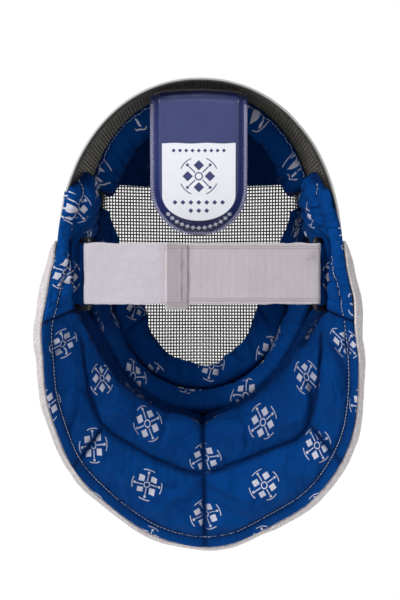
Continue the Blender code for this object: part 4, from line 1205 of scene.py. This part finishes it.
def make_side_lining(name, node, sign, finish, thread):
    """Side lining: two tubes side by side, a narrow one outside its stitched line and a wider one
    inside it, both rounded off at the top, hollowed behind the strap loop and creased across."""
    degrees = np.linspace(SIDE_SEAM_ANGLE + SEAM_GAP, SIDE_TOP_ANGLE - SEAM_GAP, 150)
    angles = sign * degrees
    count = 90
    base = lining_base(angles, count)
    run = edge_run(place(angles[:, None], base))
    # The round top: how far each point of the upper end runs ahead or stays behind, in degrees.
    lead = 3.5 * smooth(run, 0.020, 0.050) * (1 - smooth(run, 0.065, 0.090))
    lead = lead - 8.5 * (1 - np.sqrt(1 - np.clip(1 - run / 0.040, 0, 1) ** 2))
    angles = angles[:, None] + sign * lead * smooth(degrees, 106, 123)[:, None]
    middle = column(LINING_ROWS, 7, angles)
    degrees = degrees[:, None] + 0 * run
    spot = place(angles, base)
    high = smooth(degrees, 88, 112)
    stitch = 0.0105 + 0.0045 * high
    gap = np.abs(run - stitch)
    # The narrow tube outside the stitched line, a half ellipse, and the wide one inside it.
    outer = np.sqrt(np.clip(1 - ((run / stitch - 0.5) / 0.5) ** 2, 0, 1))
    outer = 0.0022 + (0.0026 + 0.0030 * high) * outer
    share = np.clip((run - stitch) / np.maximum(run[:, :1] - stitch, 0.01), 0, 1)
    inner = middle * (0.45 + 0.75 * np.sin(np.pi * np.clip(share * 0.86 + 0.02, 0, 1)) ** 0.5)
    inner += 0.0055 * high * bell(run - stitch - 0.013, 0.010)
    thick = np.where(run < stitch, outer, inner) - 0.0006 * bell(gap, 0.0015)
    seam_low = np.radians(degrees - SIDE_SEAM_ANGLE) * base[..., 0]
    seam_top = np.radians(SIDE_TOP_ANGLE - degrees) * base[..., 0]
    thick = thick * np.sqrt(np.clip(1 - (1 - np.clip(seam_top / 0.009, 0.03, 1)) ** 2, 0, 1))
    thick = thick * (1 - 0.5 * bell(seam_low, 0.004))
    # The hollow behind the strap's loop and tab.
    hollow = np.exp(-(((spot[..., 2] - STRAP_Z) / 0.035) ** 6))
    hollow = hollow * np.exp(-(((spot[..., 1] + 0.054) / 0.014) ** 4))
    thick = thick * (1 - 0.68 * hollow)
    wave = np.sin(2 * np.pi * degrees / 4.2 + 3.0 * uneven(spot, 0.03, 31 + sign))
    thick = thick + 0.0006 * wave * fall(gap, 0.006) * (1 - hollow)
    for at, depth, wide in SIDE_CREASES:
        lean = at + 5.0 * (run - 0.03) / 0.03
        thick = thick - depth * bell(degrees - lean, wide) * smooth(run, stitch, stitch + 0.004)
    thick = np.maximum(thick + 0.0006 * uneven(spot, 0.045, 41 + sign) * (1 - hollow), THINNEST)
    near = np.minimum(np.minimum(seam_low, seam_top), gap)
    # Painted shade along the seams and the stitched line.
    seam = np.clip(bell(near, 0.0013), 0, 1)
    flat = np.stack((run + 0.2 * sign, spot[..., 2] + 0.7), axis=-1)
    seen = padded_piece(name, node, angles, base, thick, flat, finish, seam, near * (1 - hollow))
    line_at(seen, run, stitch[:, 0], name + "_stitches", thread)


# Gathers in the crown lining's roll: angle and depth.
BROW_GATHERS = ((133, 0.0022), (141, 0.0016), (151, 0.0014), (211, 0.0014), (219, 0.002), (228, 0.0022))


def make_forehead_pad(finish, thread):
    """Crown lining: a fat roll along its rear edge, gathered across, then a flat stretch down to the
    brow; its thickness is the larger of the two."""
    angles = np.linspace(SIDE_TOP_ANGLE + SEAM_GAP, 360 - SIDE_TOP_ANGLE - SEAM_GAP, 190)
    turn = np.radians(angles)
    brow = np.minimum(0.065 / np.abs(np.cos(turn)), 0.0975)
    join_r = loop_radius(turn, *JOIN)
    first, last = brow / join_r, 1.04 + 0.42 * np.cos(turn) ** 4
    stations = np.linspace(0, 1, 400)[None, :] * (last - first)[:, None] + first[:, None]
    dense = shell_side(angles, stations, LINING_GAP)
    even = np.linspace(0, 1, 80)
    base = np.stack([np.stack([np.interp(even * run[-1], run, line[:, c]) for c in (0, 1)], axis=1)
                     for run, line in zip(lengths(dense), dense)])
    spot = place(angles[:, None], base)
    rear, front = edge_run(spot), lengths(spot)
    degrees = angles[:, None] + 0 * rear
    aside = np.abs(degrees - 180)
    # The roll is half an ellipse, 28 mm wide and fattest on both sides of the tongue.
    fat = 0.0130 + 0.0065 * smooth(aside, 8, 24) * (1 - 0.35 * smooth(aside, 46, 58))
    roll = fat * np.sqrt(np.clip(1 - ((rear - 0.0156) / 0.0142) ** 2, 0, 1))
    flat_pad = 0.0052 * np.minimum(1, (front / 0.004) ** 0.5) * (1 - fall(rear, 0.006))
    thick = np.maximum(roll, 0.0012 + 0.0014 * smooth(rear, 0.002, 0.006) + flat_pad)
    gather = np.sin(2 * np.pi * degrees / 4.4 + 2.5 * uneven(spot, 0.04, 51))
    thick = thick + 0.0007 * gather * bell(rear - 0.004, 0.012)
    thick = thick - 0.0011 * np.maximum(gather, 0) ** 3 * bell(rear - 0.026, 0.006)
    for at, depth in BROW_GATHERS:
        thick = thick - depth * bell(degrees - at, 1.3) * bell(rear - 0.012, 0.012)
    side = np.radians(180 - SIDE_TOP_ANGLE - aside) * base[..., 0]
    thick = thick * (1 - 0.55 * bell(side, 0.004))
    thick = np.maximum(thick + 0.0006 * uneven(spot, 0.05, 53), THINNEST)
    # Painted shade along the rear edge and the seams at the sides, and a deep painted shadow over the flat
    # stretch down to the brow.
    seam = np.clip(bell(rear, 0.0012) + 0.8 * smooth(rear, 0.024, 0.034) + bell(side, 0.0015), 0, 1)
    near = np.minimum(np.abs(rear - 0.027), side)
    flat = piece_flat(spot, 0.55)
    seen = padded_piece("brow_roll", "forehead_pad", angles, base, thick, flat, finish, seam, near,
                        shrink=0.07, push=0.2)
    line_at(seen, rear, 0.0007, "brow_roll_stitches", thread)


def make_bib_cloth(finish):
    """Outer cloth: on the shell, then a quadratic flare to its widest line, then its turned hem;
    softly waved."""
    angles = np.linspace(-BIB_END_ANGLE, BIB_END_ANGLE, 300)
    turn = np.radians(angles)[:, None]
    off = WIRE_WALL + 0.0022 + BIB_CLOTH / 2
    upper, leave = column(BIB_ROWS, 1, angles)[:, None], column(BIB_ROWS, 2, angles)[:, None]
    lie = shell_side(angles, upper + (leave - upper) * np.linspace(0, 1, 16), -off)
    bow = np.stack((column(BIB_ROWS, 3, angles), column(BIB_ROWS, 4, angles)), axis=1)[:, None]
    wide, hem = (points[:, None] for points in hem_points(angles))
    t = np.linspace(0, 1, 42)[None, 1:, None]
    flare = (1 - t) ** 2 * lie[:, -1:] + 2 * t * (1 - t) * bow + t**2 * wide
    turned = wide + (hem - wide) * np.linspace(0, 1, 7)[None, 1:, None]
    curves = np.concatenate((lie, flare, turned), axis=1)
    spot = place(angles[:, None], curves)
    fade = np.concatenate((np.zeros(16), np.linspace(0, 1, 41), np.ones(6)))[None, :]
    ripple = 0.0009 * uneven(spot, 0.06, 61) + 0.0007 * np.sin(turn * 26 + 2 * uneven(spot, 0.09, 62))
    curves = curves + section_normals(curves) * (ripple * fade * (1 - 0.4 * fade**6))[..., None]
    half = section_normals(curves) * (BIB_CLOTH / 2)
    seen, hidden = (place(angles[:, None], curves + way * half) for way in (1, -1))
    run = lengths(spot)
    flat_r = 0.05 + run - run[:, 16:17] + 0.14
    flat = np.stack((flat_r * np.sin(turn), -flat_r * np.cos(turn)), axis=-1)
    piece = stand_in(slab("bib_outer", seen, hidden, flat, finish), "bib_cloth")


# ------------------------------------------------------------------ tongue

def crown_height(across, depth):
    """Height of the wire band's inner face over a spot under the crown, by eight Newton steps."""
    angle, station = 180.0, 1.5
    for _ in range(8):
        near = shell(np.array((angle, angle)), np.array((station, station + 0.01)))
        station += 0.01 * (depth - near[0, 1]) / (near[1, 1] - near[0, 1])
        angle = 180.0 - math.degrees(math.asin(across / near[0, 0]))
    return HUB_Z - shell(angle, station)[0] * math.cos(math.radians(angle)) - WIRE_WALL / 2


def tongue_place(travels, across, lift):
    """Tongue points: up behind the head, round a bend, then forwards under the crown.  Also returns
    the travel at which the bend starts, the one at which it ends, and the whole length."""
    drop = 2 * GAP + TONGUE_THICK / 2
    widest = TONGUE_FLANGE_HALF + abs(TONGUE_CENTRE_X)
    tip = np.array(TONGUE_TIP)
    corner, front = (np.array((depth, crown_height(widest, depth) - drop))
                     for depth in (TONGUE_BACK_DEPTH, TONGUE_FRONT_DEPTH))
    rise, reach = float(np.linalg.norm(corner - tip)), float(np.linalg.norm(front - corner))
    up, ahead = (corner - tip) / rise, (front - corner) / reach
    swing = math.acos(float(up @ ahead))
    cut = TONGUE_BEND * math.tan(swing / 2)
    straight = rise - cut
    arc = TONGUE_BEND * swing
    back = quarter_turn(up)
    part = np.clip((travels - straight) / TONGUE_BEND, 0.0, swing)[..., None]
    normals = back * np.cos(part) + up * np.sin(part)
    below = tip + up * np.minimum(travels, straight)[..., None]
    around = tip + up * straight - back * TONGUE_BEND + normals * TONGUE_BEND
    spots = np.where(travels[..., None] <= straight, below, around)
    spots = spots + ahead * np.maximum(travels - straight - arc, 0.0)[..., None]
    spots = spots + normals * lift[..., None]
    points = np.stack((TONGUE_CENTRE_X + across, spots[..., 0], spots[..., 1]), axis=-1)
    return points, (straight, straight + arc, straight + arc + reach - cut)


def tongue_half(travels, flange):
    """Half width of the tongue: a half circle at its tip, narrower on its flange."""
    reach = np.minimum(travels, TONGUE_HALF_WIDTH)
    half = np.sqrt(np.maximum(TONGUE_HALF_WIDTH**2 - (TONGUE_HALF_WIDTH - reach) ** 2, 0.0))
    return half - (TONGUE_HALF_WIDTH - TONGUE_FLANGE_HALF) * smooth(travels, flange - 0.001, flange + 0.006)


def make_tongue(finish):
    """Padded tongue: a thin border, then a panel that rises as an S curve of the distance from the
    edge and crowns a little across; the point value shade paints shade on its lower end and its bend,
    and darkens its outer edge a little."""
    zero = np.zeros(1)
    _, (bend, flange, total) = tongue_place(zero, zero, zero)
    travels = TONGUE_HALF_WIDTH * (1 - np.cos(np.radians(np.linspace(3, 90, 46))))
    travels = np.concatenate((travels, np.linspace(TONGUE_HALF_WIDTH, total - 0.0002, 76)[1:]))[:, None]
    half = tongue_half(travels, flange)
    across = half * np.sin(np.pi / 2 * np.linspace(-1, 1, 83))[None, :]
    travel = travels + 0 * across
    to_centre = np.maximum(TONGUE_HALF_WIDTH - travels, 0)
    round_gap = TONGUE_HALF_WIDTH - np.hypot(across, to_centre)
    inset = np.where(to_centre > 0, round_gap, half - np.abs(across))
    fade = 1 - smooth(travels, bend + 0.001, flange + 0.002)
    rise = smooth(inset, PANEL_INSET - 0.0056, PANEL_INSET + 0.0012) * fade
    crown = 1 - np.clip(np.abs(across) / PANEL_ROUND, 0, 1) ** 2
    crown = 0.0009 * crown * fade * smooth(inset, 0.009, 0.02)
    edge = 1 - (1 - np.clip(inset / 0.0014, 0, 1)) ** 2
    top = TONGUE_THICK / 2 * (0.25 + 0.75 * edge) + (PANEL_RISE - 0.0004) * rise + crown * rise
    spot, _ = tongue_place(travel, across, 0 * across)
    gather = np.sin(2 * np.pi * (travels + 0.4 * across) / 0.006)
    top = top + 0.00022 * uneven(spot, 0.03, 71) * rise
    top = top + 0.00016 * gather * bell(inset - 0.0040, 0.0016)
    droop = 0.0042 * (across / TONGUE_HALF_WIDTH) ** 2 * smooth(travels, bend - 0.002, flange)
    seen, hidden = (tongue_place(travel, across, lift - droop)[0] for lift in (top, -TONGUE_THICK / 2))
    flat = np.stack((across, travel), axis=-1)
    # Painted shade: dark at the lower end and over the bend; a little darker along the outer edge.
    low_end, top_end = 1 - smooth(travels, -0.004, 0.032), smooth(travels, bend - 0.001, bend + 0.004)
    shade = np.maximum(np.maximum(0.9 * low_end, top_end), 0.35 * (1 - smooth(inset, 0.001, 0.004)))
    piece = slab("tongue_pad", seen, hidden, flat, finish, marks={"shade": shade}, sharp=60)
    stand_in(piece, "tongue_cover")


def make_overlock(thread):
    """Slanted thread round the tongue's edge, from its bend down round its tip and up again."""
    zero = np.zeros(1)
    _, (bend, flange, _) = tongue_place(zero, zero, zero)
    turn = np.radians(np.linspace(0, 90, 60))
    straight = np.linspace(TONGUE_HALF_WIDTH, bend - 0.003, 60)[1:]
    side = np.concatenate((TONGUE_HALF_WIDTH * (1 - np.cos(turn)), straight))
    run = np.concatenate((side[::-1], side[1:]))
    sign = np.concatenate((-np.ones(len(side)), np.ones(len(side) - 1)))
    keep = 0.0016
    half = sign * np.maximum(tongue_half(run, flange) - keep, 0)
    lift = np.full_like(run, TONGUE_THICK / 2 + 0.0001)
    run = np.maximum(run, keep)
    path, over = (tongue_place(run, half, lift + more)[0] for more in (0, 0.001))
    piece = stitches("tongue_overlock", path, over - path, 0.0014, 0.0034, 0.00027, thread, slant=70)


def make_label(finish):
    """White panel: a shield with a wide round bottom and a slightly wavy top edge, on the crowned
    panel of the tongue."""
    low, high = LABEL_RUN
    turn = np.radians(np.linspace(4, 90, 40))
    straight = np.linspace(low + LABEL_ROUND, high, 30)[1:]
    travels = np.concatenate((low + LABEL_ROUND * (1 - np.cos(turn)), straight))[:, None]
    round_part = np.clip((low + LABEL_ROUND - travels) / LABEL_ROUND, 0, 1)
    across = LABEL_HALF_WIDTH * np.sqrt(1 - round_part**2) * np.linspace(-1, 1, 61)[None, :]
    share = (travels - low) / (high - low)
    run = travels + 0.0003 * np.sin(across / 0.0042) * smooth(share, 0.75, 1.0)
    base = TONGUE_THICK / 2 + PANEL_RISE + GAP
    crown = 0.0009 * (1 - (across / PANEL_ROUND) ** 2)
    seen, _ = tongue_place(run, across, base + LABEL_THICK + crown)
    hidden, _ = tongue_place(run, across, base - 0.0003 + crown)
    piece = slab("tongue_panel", seen, hidden, np.stack((across, run), axis=-1), finish)
    stand_in(piece, "tongue_label")


# ------------------------------------------------------------------ strap

def eased_path(points, count):
    """A smooth plan path read at even steps through a few points."""
    dense = through([points], 40 * len(points), 0.5)[0]
    run = lengths(dense)
    even = np.linspace(0, run[-1], count)
    return np.stack([np.interp(even, run, dense[:, c]) for c in (0, 1)], axis=1)


def two_faces(plan, half, off, z):
    """Both faces of webbing on edge: a plan path moved to its left by off, and by half either way."""
    side = quarter_turn(unit(np.gradient(plan, axis=0)))[:, None]
    plans = [plan[:, None] + side * (way * half + off)[..., None] for way in (1, -1)]
    return [np.concatenate((points, z[..., None]), axis=-1) for points in plans]


def ribbon(name, node, plan, finish, seed, sag=np.zeros_like):
    """Strap webbing along a plan path: its long edges are a little uneven and rounded, its lower edge
    let down by the height sag(x), and its faces softly rippled."""
    t = np.linspace(-1, 1, 49)[None, :]
    run = lengths(plan)[:, None]
    upright = np.broadcast_to(t * 0.03, (len(plan), t.size))
    probe = np.concatenate((np.repeat(plan[:, None], t.size, axis=1), upright[..., None]), axis=-1)
    shake = 0.0004 * uneven(probe, 0.02, seed)
    z = STRAP_Z + t * (STRAP_HEIGHT / 2) + shake * np.abs(t) ** 8 - sag(plan[:, :1]) * np.clip(-t, 0, 1)
    round_edge = np.sqrt(np.clip(1 - np.clip((np.abs(t) - 0.955) / 0.047, 0, 1) ** 2, 0, 1))
    half = STRAP_THICK / 2 * (0.25 + 0.75 * round_edge) + 0 * z
    seen, hidden = two_faces(plan, half, 0.00025 * uneven(probe, 0.018, seed + 1), z)
    flat = np.stack((run + 0 * z, t * STRAP_HEIGHT / 2 + 0 * z), axis=-1)
    stand_in(slab(name, seen, hidden, flat, finish), node)


def strap_end(bar_x, sign):
    """Plan path of a strap's end, out to the ring, round its rear bar and back along itself."""
    radius = RING_REAR_DEPTH - STRAP_DEPTH
    tight = STRAP_DEPTH + STRAP_THICK + GAP
    round_bar = [(-0.006, STRAP_DEPTH)]
    for t in np.radians((-90, -55, -20, 20, 55, 90)):
        round_bar.append((radius * math.cos(t), RING_REAR_DEPTH + radius * math.sin(t)))
    back = [(-0.003, RING_REAR_DEPTH + radius * 0.97), (-0.019, tight + 0.0002), (-STRAP_RETURN, tight)]
    return [(bar_x + sign * out, depth) for out, depth in round_bar + back]


def make_straps(pile, elastic):
    """Pile strap on the left; elastic strap on the right, lapped over it, its end folded under a sewn
    tab."""
    left = [(OVERLAP_END_X, STRAP_DEPTH), (0.0, STRAP_DEPTH), (-0.05, STRAP_DEPTH)]
    left = eased_path(left + strap_end(RING_REAR_X[0], -1), 150)
    ribbon("pile_strap", "strap_left", left, pile, 81)
    over, tab = (STRAP_DEPTH - layer * (STRAP_THICK + GAP) for layer in (1, 2))
    bend, middle = (over - tab) / 2, (over + tab) / 2
    turns = np.radians((0, 45, 90, 135, 180))
    fold = [(TAB_X[0] + bend * (1 - math.sin(t)), middle - bend * math.cos(t)) for t in turns]
    right = [(TAB_X[1], tab), (-0.019, tab)] + fold + [(0.0, over), (0.036, over)]
    right = right + [(0.055, STRAP_DEPTH), (0.075, STRAP_DEPTH)] + strap_end(RING_REAR_X[1], 1)
    ribbon("elastic_strap", "strap_right", eased_path(right, 220), elastic, 83,
           lambda x: 0.0042 * (1 - smooth(x, -0.0125, -0.0085)))


# Loose ends of thread at the right loop: reach, height over the strap's middle, rise along it.
LOOSE_ENDS = (
    (0.009, 0.0180, -0.0050),
    (0.006, 0.0165, -0.0065),
    (0.008, 0.0125, -0.0015),
    (0.005, 0.0140, 0.0030),
    (-0.004, 0.0190, -0.0080),
)


def make_strap_threads(elastic, thread):
    """The strap tab's uneven row of stitches, and the loose ends, each one a gentle curve."""
    tab = STRAP_DEPTH - 2 * (STRAP_THICK + GAP)
    z = np.linspace(STRAP_Z - 0.0225, STRAP_Z + 0.0225, 40)
    x = -0.0150 + (0.0003 * np.sin(z / 0.0017) + 0.0002 * np.sin(z / 0.0007))
    path = np.stack((x, np.full_like(z, tab - STRAP_THICK / 2 - 0.0002), z), axis=1)
    out = np.broadcast_to((0.0, -1.0, 0.0), path.shape)
    piece = stitches("tab_stitches", path, out, 0.0030, 0.0024, 0.00026, thread)
    t = np.linspace(0, 1, 14)
    y = STRAP_DEPTH - 0.0012 - 0.004 * np.sin(2.4 * t)
    lines = [np.stack((0.0935 - reach * t, y, STRAP_Z + high + turn * t**2), axis=1)
             for reach, high, turn in LOOSE_ENDS]
    ups = np.broadcast_to((0.0, -1.0, 0.3), np.shape(lines))
    tuft = tubes("loose_threads", lines, ups, np.ones(ups.shape[:2], dtype=bool), 0.00018, elastic, sides=4)


def front_bar(sign):
    """Plan place of a strap loop's front bar, without the side's sign."""
    return np.array((0.0998 if sign < 0 else 0.1022, -0.0515))


def make_ring(name, node, sign, finish):
    """Strap loop: a rounded rectangle of flattened round bar between the rear and the front bar,
    which stands further out below than above."""
    rear, front = np.array((abs(RING_REAR_X[sign > 0]), RING_REAR_DEPTH)), front_bar(sign)
    half, corner = 0.0282, 0.0034
    span = np.linalg.norm(front - rear)
    turns = np.radians(np.linspace(0, 90, 7))
    path = []
    for along, high, start in ((0, -half, 180), (span, -half, 270), (span, half, 0), (0, half, 90)):
        centre = (along - math.copysign(corner, along - span / 2), high - math.copysign(corner, high))
        way = turns + math.radians(start)
        path.append((centre[0] + corner * np.cos(way), centre[1] + corner * np.sin(way), way))
    path = np.concatenate(path, axis=1).T
    turn = 2 * np.pi * np.arange(10) / 10
    reach, lift = RING_BAR * np.cos(turn) * 1.15, RING_BAR * np.sin(turn) * 0.95
    along = path[:, :1] + np.cos(path[:, 2:]) * reach
    high = path[:, 1:2] + np.sin(path[:, 2:]) * reach
    skew = 0.0016 * smooth(along, 0.2 * span, span) * (-high / half)
    ahead = (front - rear) / span
    plan = rear + ahead * along[..., None] + quarter_turn(ahead) * lift[..., None]
    points = np.stack((sign * (plan[..., 0] + skew), plan[..., 1], STRAP_Z + high), axis=-1)
    quads, row, col = grid_quads(len(path), 10, wrap_rows=True, wrap_cols=True)
    flat = np.stack((row * 0.003, col * 0.0013), axis=-1)
    stand_in(add_mesh(name, points.reshape(-1, 3), quads, finish, flat), node)


def make_ring_tab(name, node, sign, finish):
    """Cloth tab round a loop's front bar: from the lining round the bar and back, in upright folds,
    leaning as the bar does."""
    x, y = front_bar(sign)
    radius = RING_BAR * 1.15 + 0.0014
    turns = np.radians((-80, -115, -150, -180, -215, -250, -280))
    fold = [(x + radius * math.cos(t), y + radius * math.sin(t)) for t in turns]
    points = [(x + 0.0062, -0.0610), (x + 0.0040, -0.0572)] + fold + [(x + 0.0040, -0.0465)]
    plan = eased_path([(sign * out, depth) for out, depth in points], 110)
    t = np.linspace(-1, 1, 34)[None, :]
    run = lengths(plan)[:, None]
    high = t * 0.0248 + 0 * run
    pleat = 0.0007 * np.sin(2 * np.pi * run / 0.0042 + 0.9 * t + 0.7 * np.sin(2.1 * t + 8 * run / 0.01))
    faces = two_faces(plan, 0.0005, pleat, STRAP_Z + high)
    for face in faces:
        face[..., 0] -= sign * 0.0014 * t
    flat = np.stack((run + 0.030 + 0 * high, high + 0.030), axis=-1)
    # Painted shade in the hollows of the pleats.
    piece = slab(name, *faces, flat, finish, marks={"seam": 0.6 * smooth(-pleat, 0.0002, 0.0007)})
    stand_in(piece, node)


# ------------------------------------------------------------------ room

# Lights: name, place, the point it faces, size in metres and power in watts.
LAMPS = (
    ("key", (-0.9, -1.3, 1.25), (0.0, 0.0, -0.16), 0.7, 28.0),
    ("edge", (-1.5, -1.2, 0.05), (0.0, 0.0, -0.10), 0.2, 5.0),
    ("side", (1.6, -1.3, 0.05), (0.0, 0.0, -0.14), 0.3, 5.0),
    ("front", (0.1, -2.6, -0.4), (0.0, 0.0, -0.2), 1.0, 4.2),
    ("back", (0.0, 1.2, 1.6), (0.0, 3.2, 0.0), 2.4, 50.0),
)


def make_floor():
    """Pale floor that curves up into a backdrop: flat, then a quarter of an ellipse, then upright."""
    t = np.linspace(0, 1, 40)
    bend = np.clip((t - 0.6) / 0.4, 0, 1) * np.pi / 2
    y = np.append(np.where(t < 0.6, -3 + t / 0.6 * 5.0, 2.0 + 1.5 * np.sin(bend)), 3.5)
    z = np.append(np.where(t < 0.6, 0.0, 1.5 * (1 - np.cos(bend))), 5.0) - 0.50
    x, y = np.meshgrid((-6.0, 6.0), y)
    points = np.stack((x, y, np.repeat(z[:, None], 2, axis=1)), axis=-1)
    quads, _, _ = grid_quads(*x.shape)
    mesh = bpy.data.meshes.new("floor")
    mesh.from_pydata(points.reshape(-1, 3).tolist(), [], quads.tolist())
    made = Finish("pale_floor", Roughness=0.9)
    cloud = made.object.noise(made.object, 2.0, 2.0)
    mesh.materials.append(made.paint(cloud.blend((0.86, 0.86, 0.86), (0.90, 0.90, 0.90))))
    mesh.shade_smooth()
    linked("floor", mesh)


def make_lights():
    """White surroundings and soft square lights."""
    scene = bpy.context.scene
    scene.view_settings.view_transform = "Standard"
    scene.world = bpy.data.worlds.new("studio")
    scene.world.use_nodes = True
    sky = scene.world.node_tree.nodes["Background"]
    sky.inputs["Color"].default_value = (1.0, 1.0, 1.0, 1.0)
    sky.inputs["Strength"].default_value = 0.32
    for name, spot, target, size, power in LAMPS:
        lamp = bpy.data.lights.new(name, "AREA")
        lamp.size = size
        lamp.energy = power
        holder = linked(name, lamp)
        holder.location = spot
        aim = unit(np.array(target) - np.array(spot))
        holder.rotation_euler = (math.acos(-aim[2]), 0.0, math.atan2(aim[1], aim[0]) - math.pi / 2)


def make_camera():
    """The photo's camera: level, 1.885 m behind the origin, 2222 pixels in focal length for a height
    of 600."""
    lens = bpy.data.cameras.new("view")
    lens.sensor_fit = "VERTICAL"
    lens.sensor_height = 24.0
    lens.lens = lens.sensor_height * 2222 / 600
    camera = linked("view", lens)
    camera.location = (0.0, -1.885, -0.156)
    camera.rotation_euler = (math.pi / 2, 0.0, 0.0)
    bpy.context.scene.camera = camera


make_floor()
make_lights()
make_camera()
wire = wire_finish()
blue = lining_finish()
canvas = canvas_finish()
pale_thread = plain_finish("pale_thread", (0.50, 0.60, 0.80), (0.66, 0.74, 0.90), 0.7, 60.0, 0.0001)
violet_thread = plain_finish("violet_thread", (0.50, 0.50, 0.78), (0.72, 0.72, 0.92), 0.7, 60.0, 0.0001)
grey_thread = plain_finish("grey_thread", (0.20, 0.19, 0.20), (0.30, 0.28, 0.30), 0.8, 60.0, 0.0001)
trim = trim_finish()
band = plain_finish("band_wire", (0.070, 0.064, 0.050), (0.190, 0.176, 0.140), 0.34, 160.0, 0.0001,
                    Metallic=0.5)
black = plain_finish("black_ring", (0.008, 0.008, 0.009), (0.018, 0.017, 0.018), 0.34, 80.0, 0.0002)

make_face_wires(wire)
make_side_wires(band)
make_rim_trim(trim)
make_join_strip(wire)
make_chin_pad(blue)
make_jaw_roll(blue)
make_forehead_pad(blue, pale_thread)
make_side_lining("side_quilt_left", "side_lining_left", -1, blue, pale_thread)
make_side_lining("side_quilt_right", "side_lining_right", 1, blue, pale_thread)
make_bib_lining(blue, pale_thread)
make_bib_cloth(canvas)
make_tongue(tongue_finish())
make_overlock(violet_thread)
make_label(label_finish())
pile, elastic = pile_finish(), elastic_finish()
make_straps(pile, elastic)
make_strap_threads(elastic, grey_thread)
make_ring_tab("ring_loop_left", "ring_tab_left", -1, blue)
make_ring_tab("ring_loop_right", "ring_tab_right", 1, blue)
make_ring("strap_loop_left", "strap_ring_left", -1, black)
make_ring("strap_loop_right", "strap_ring_right", 1, black)
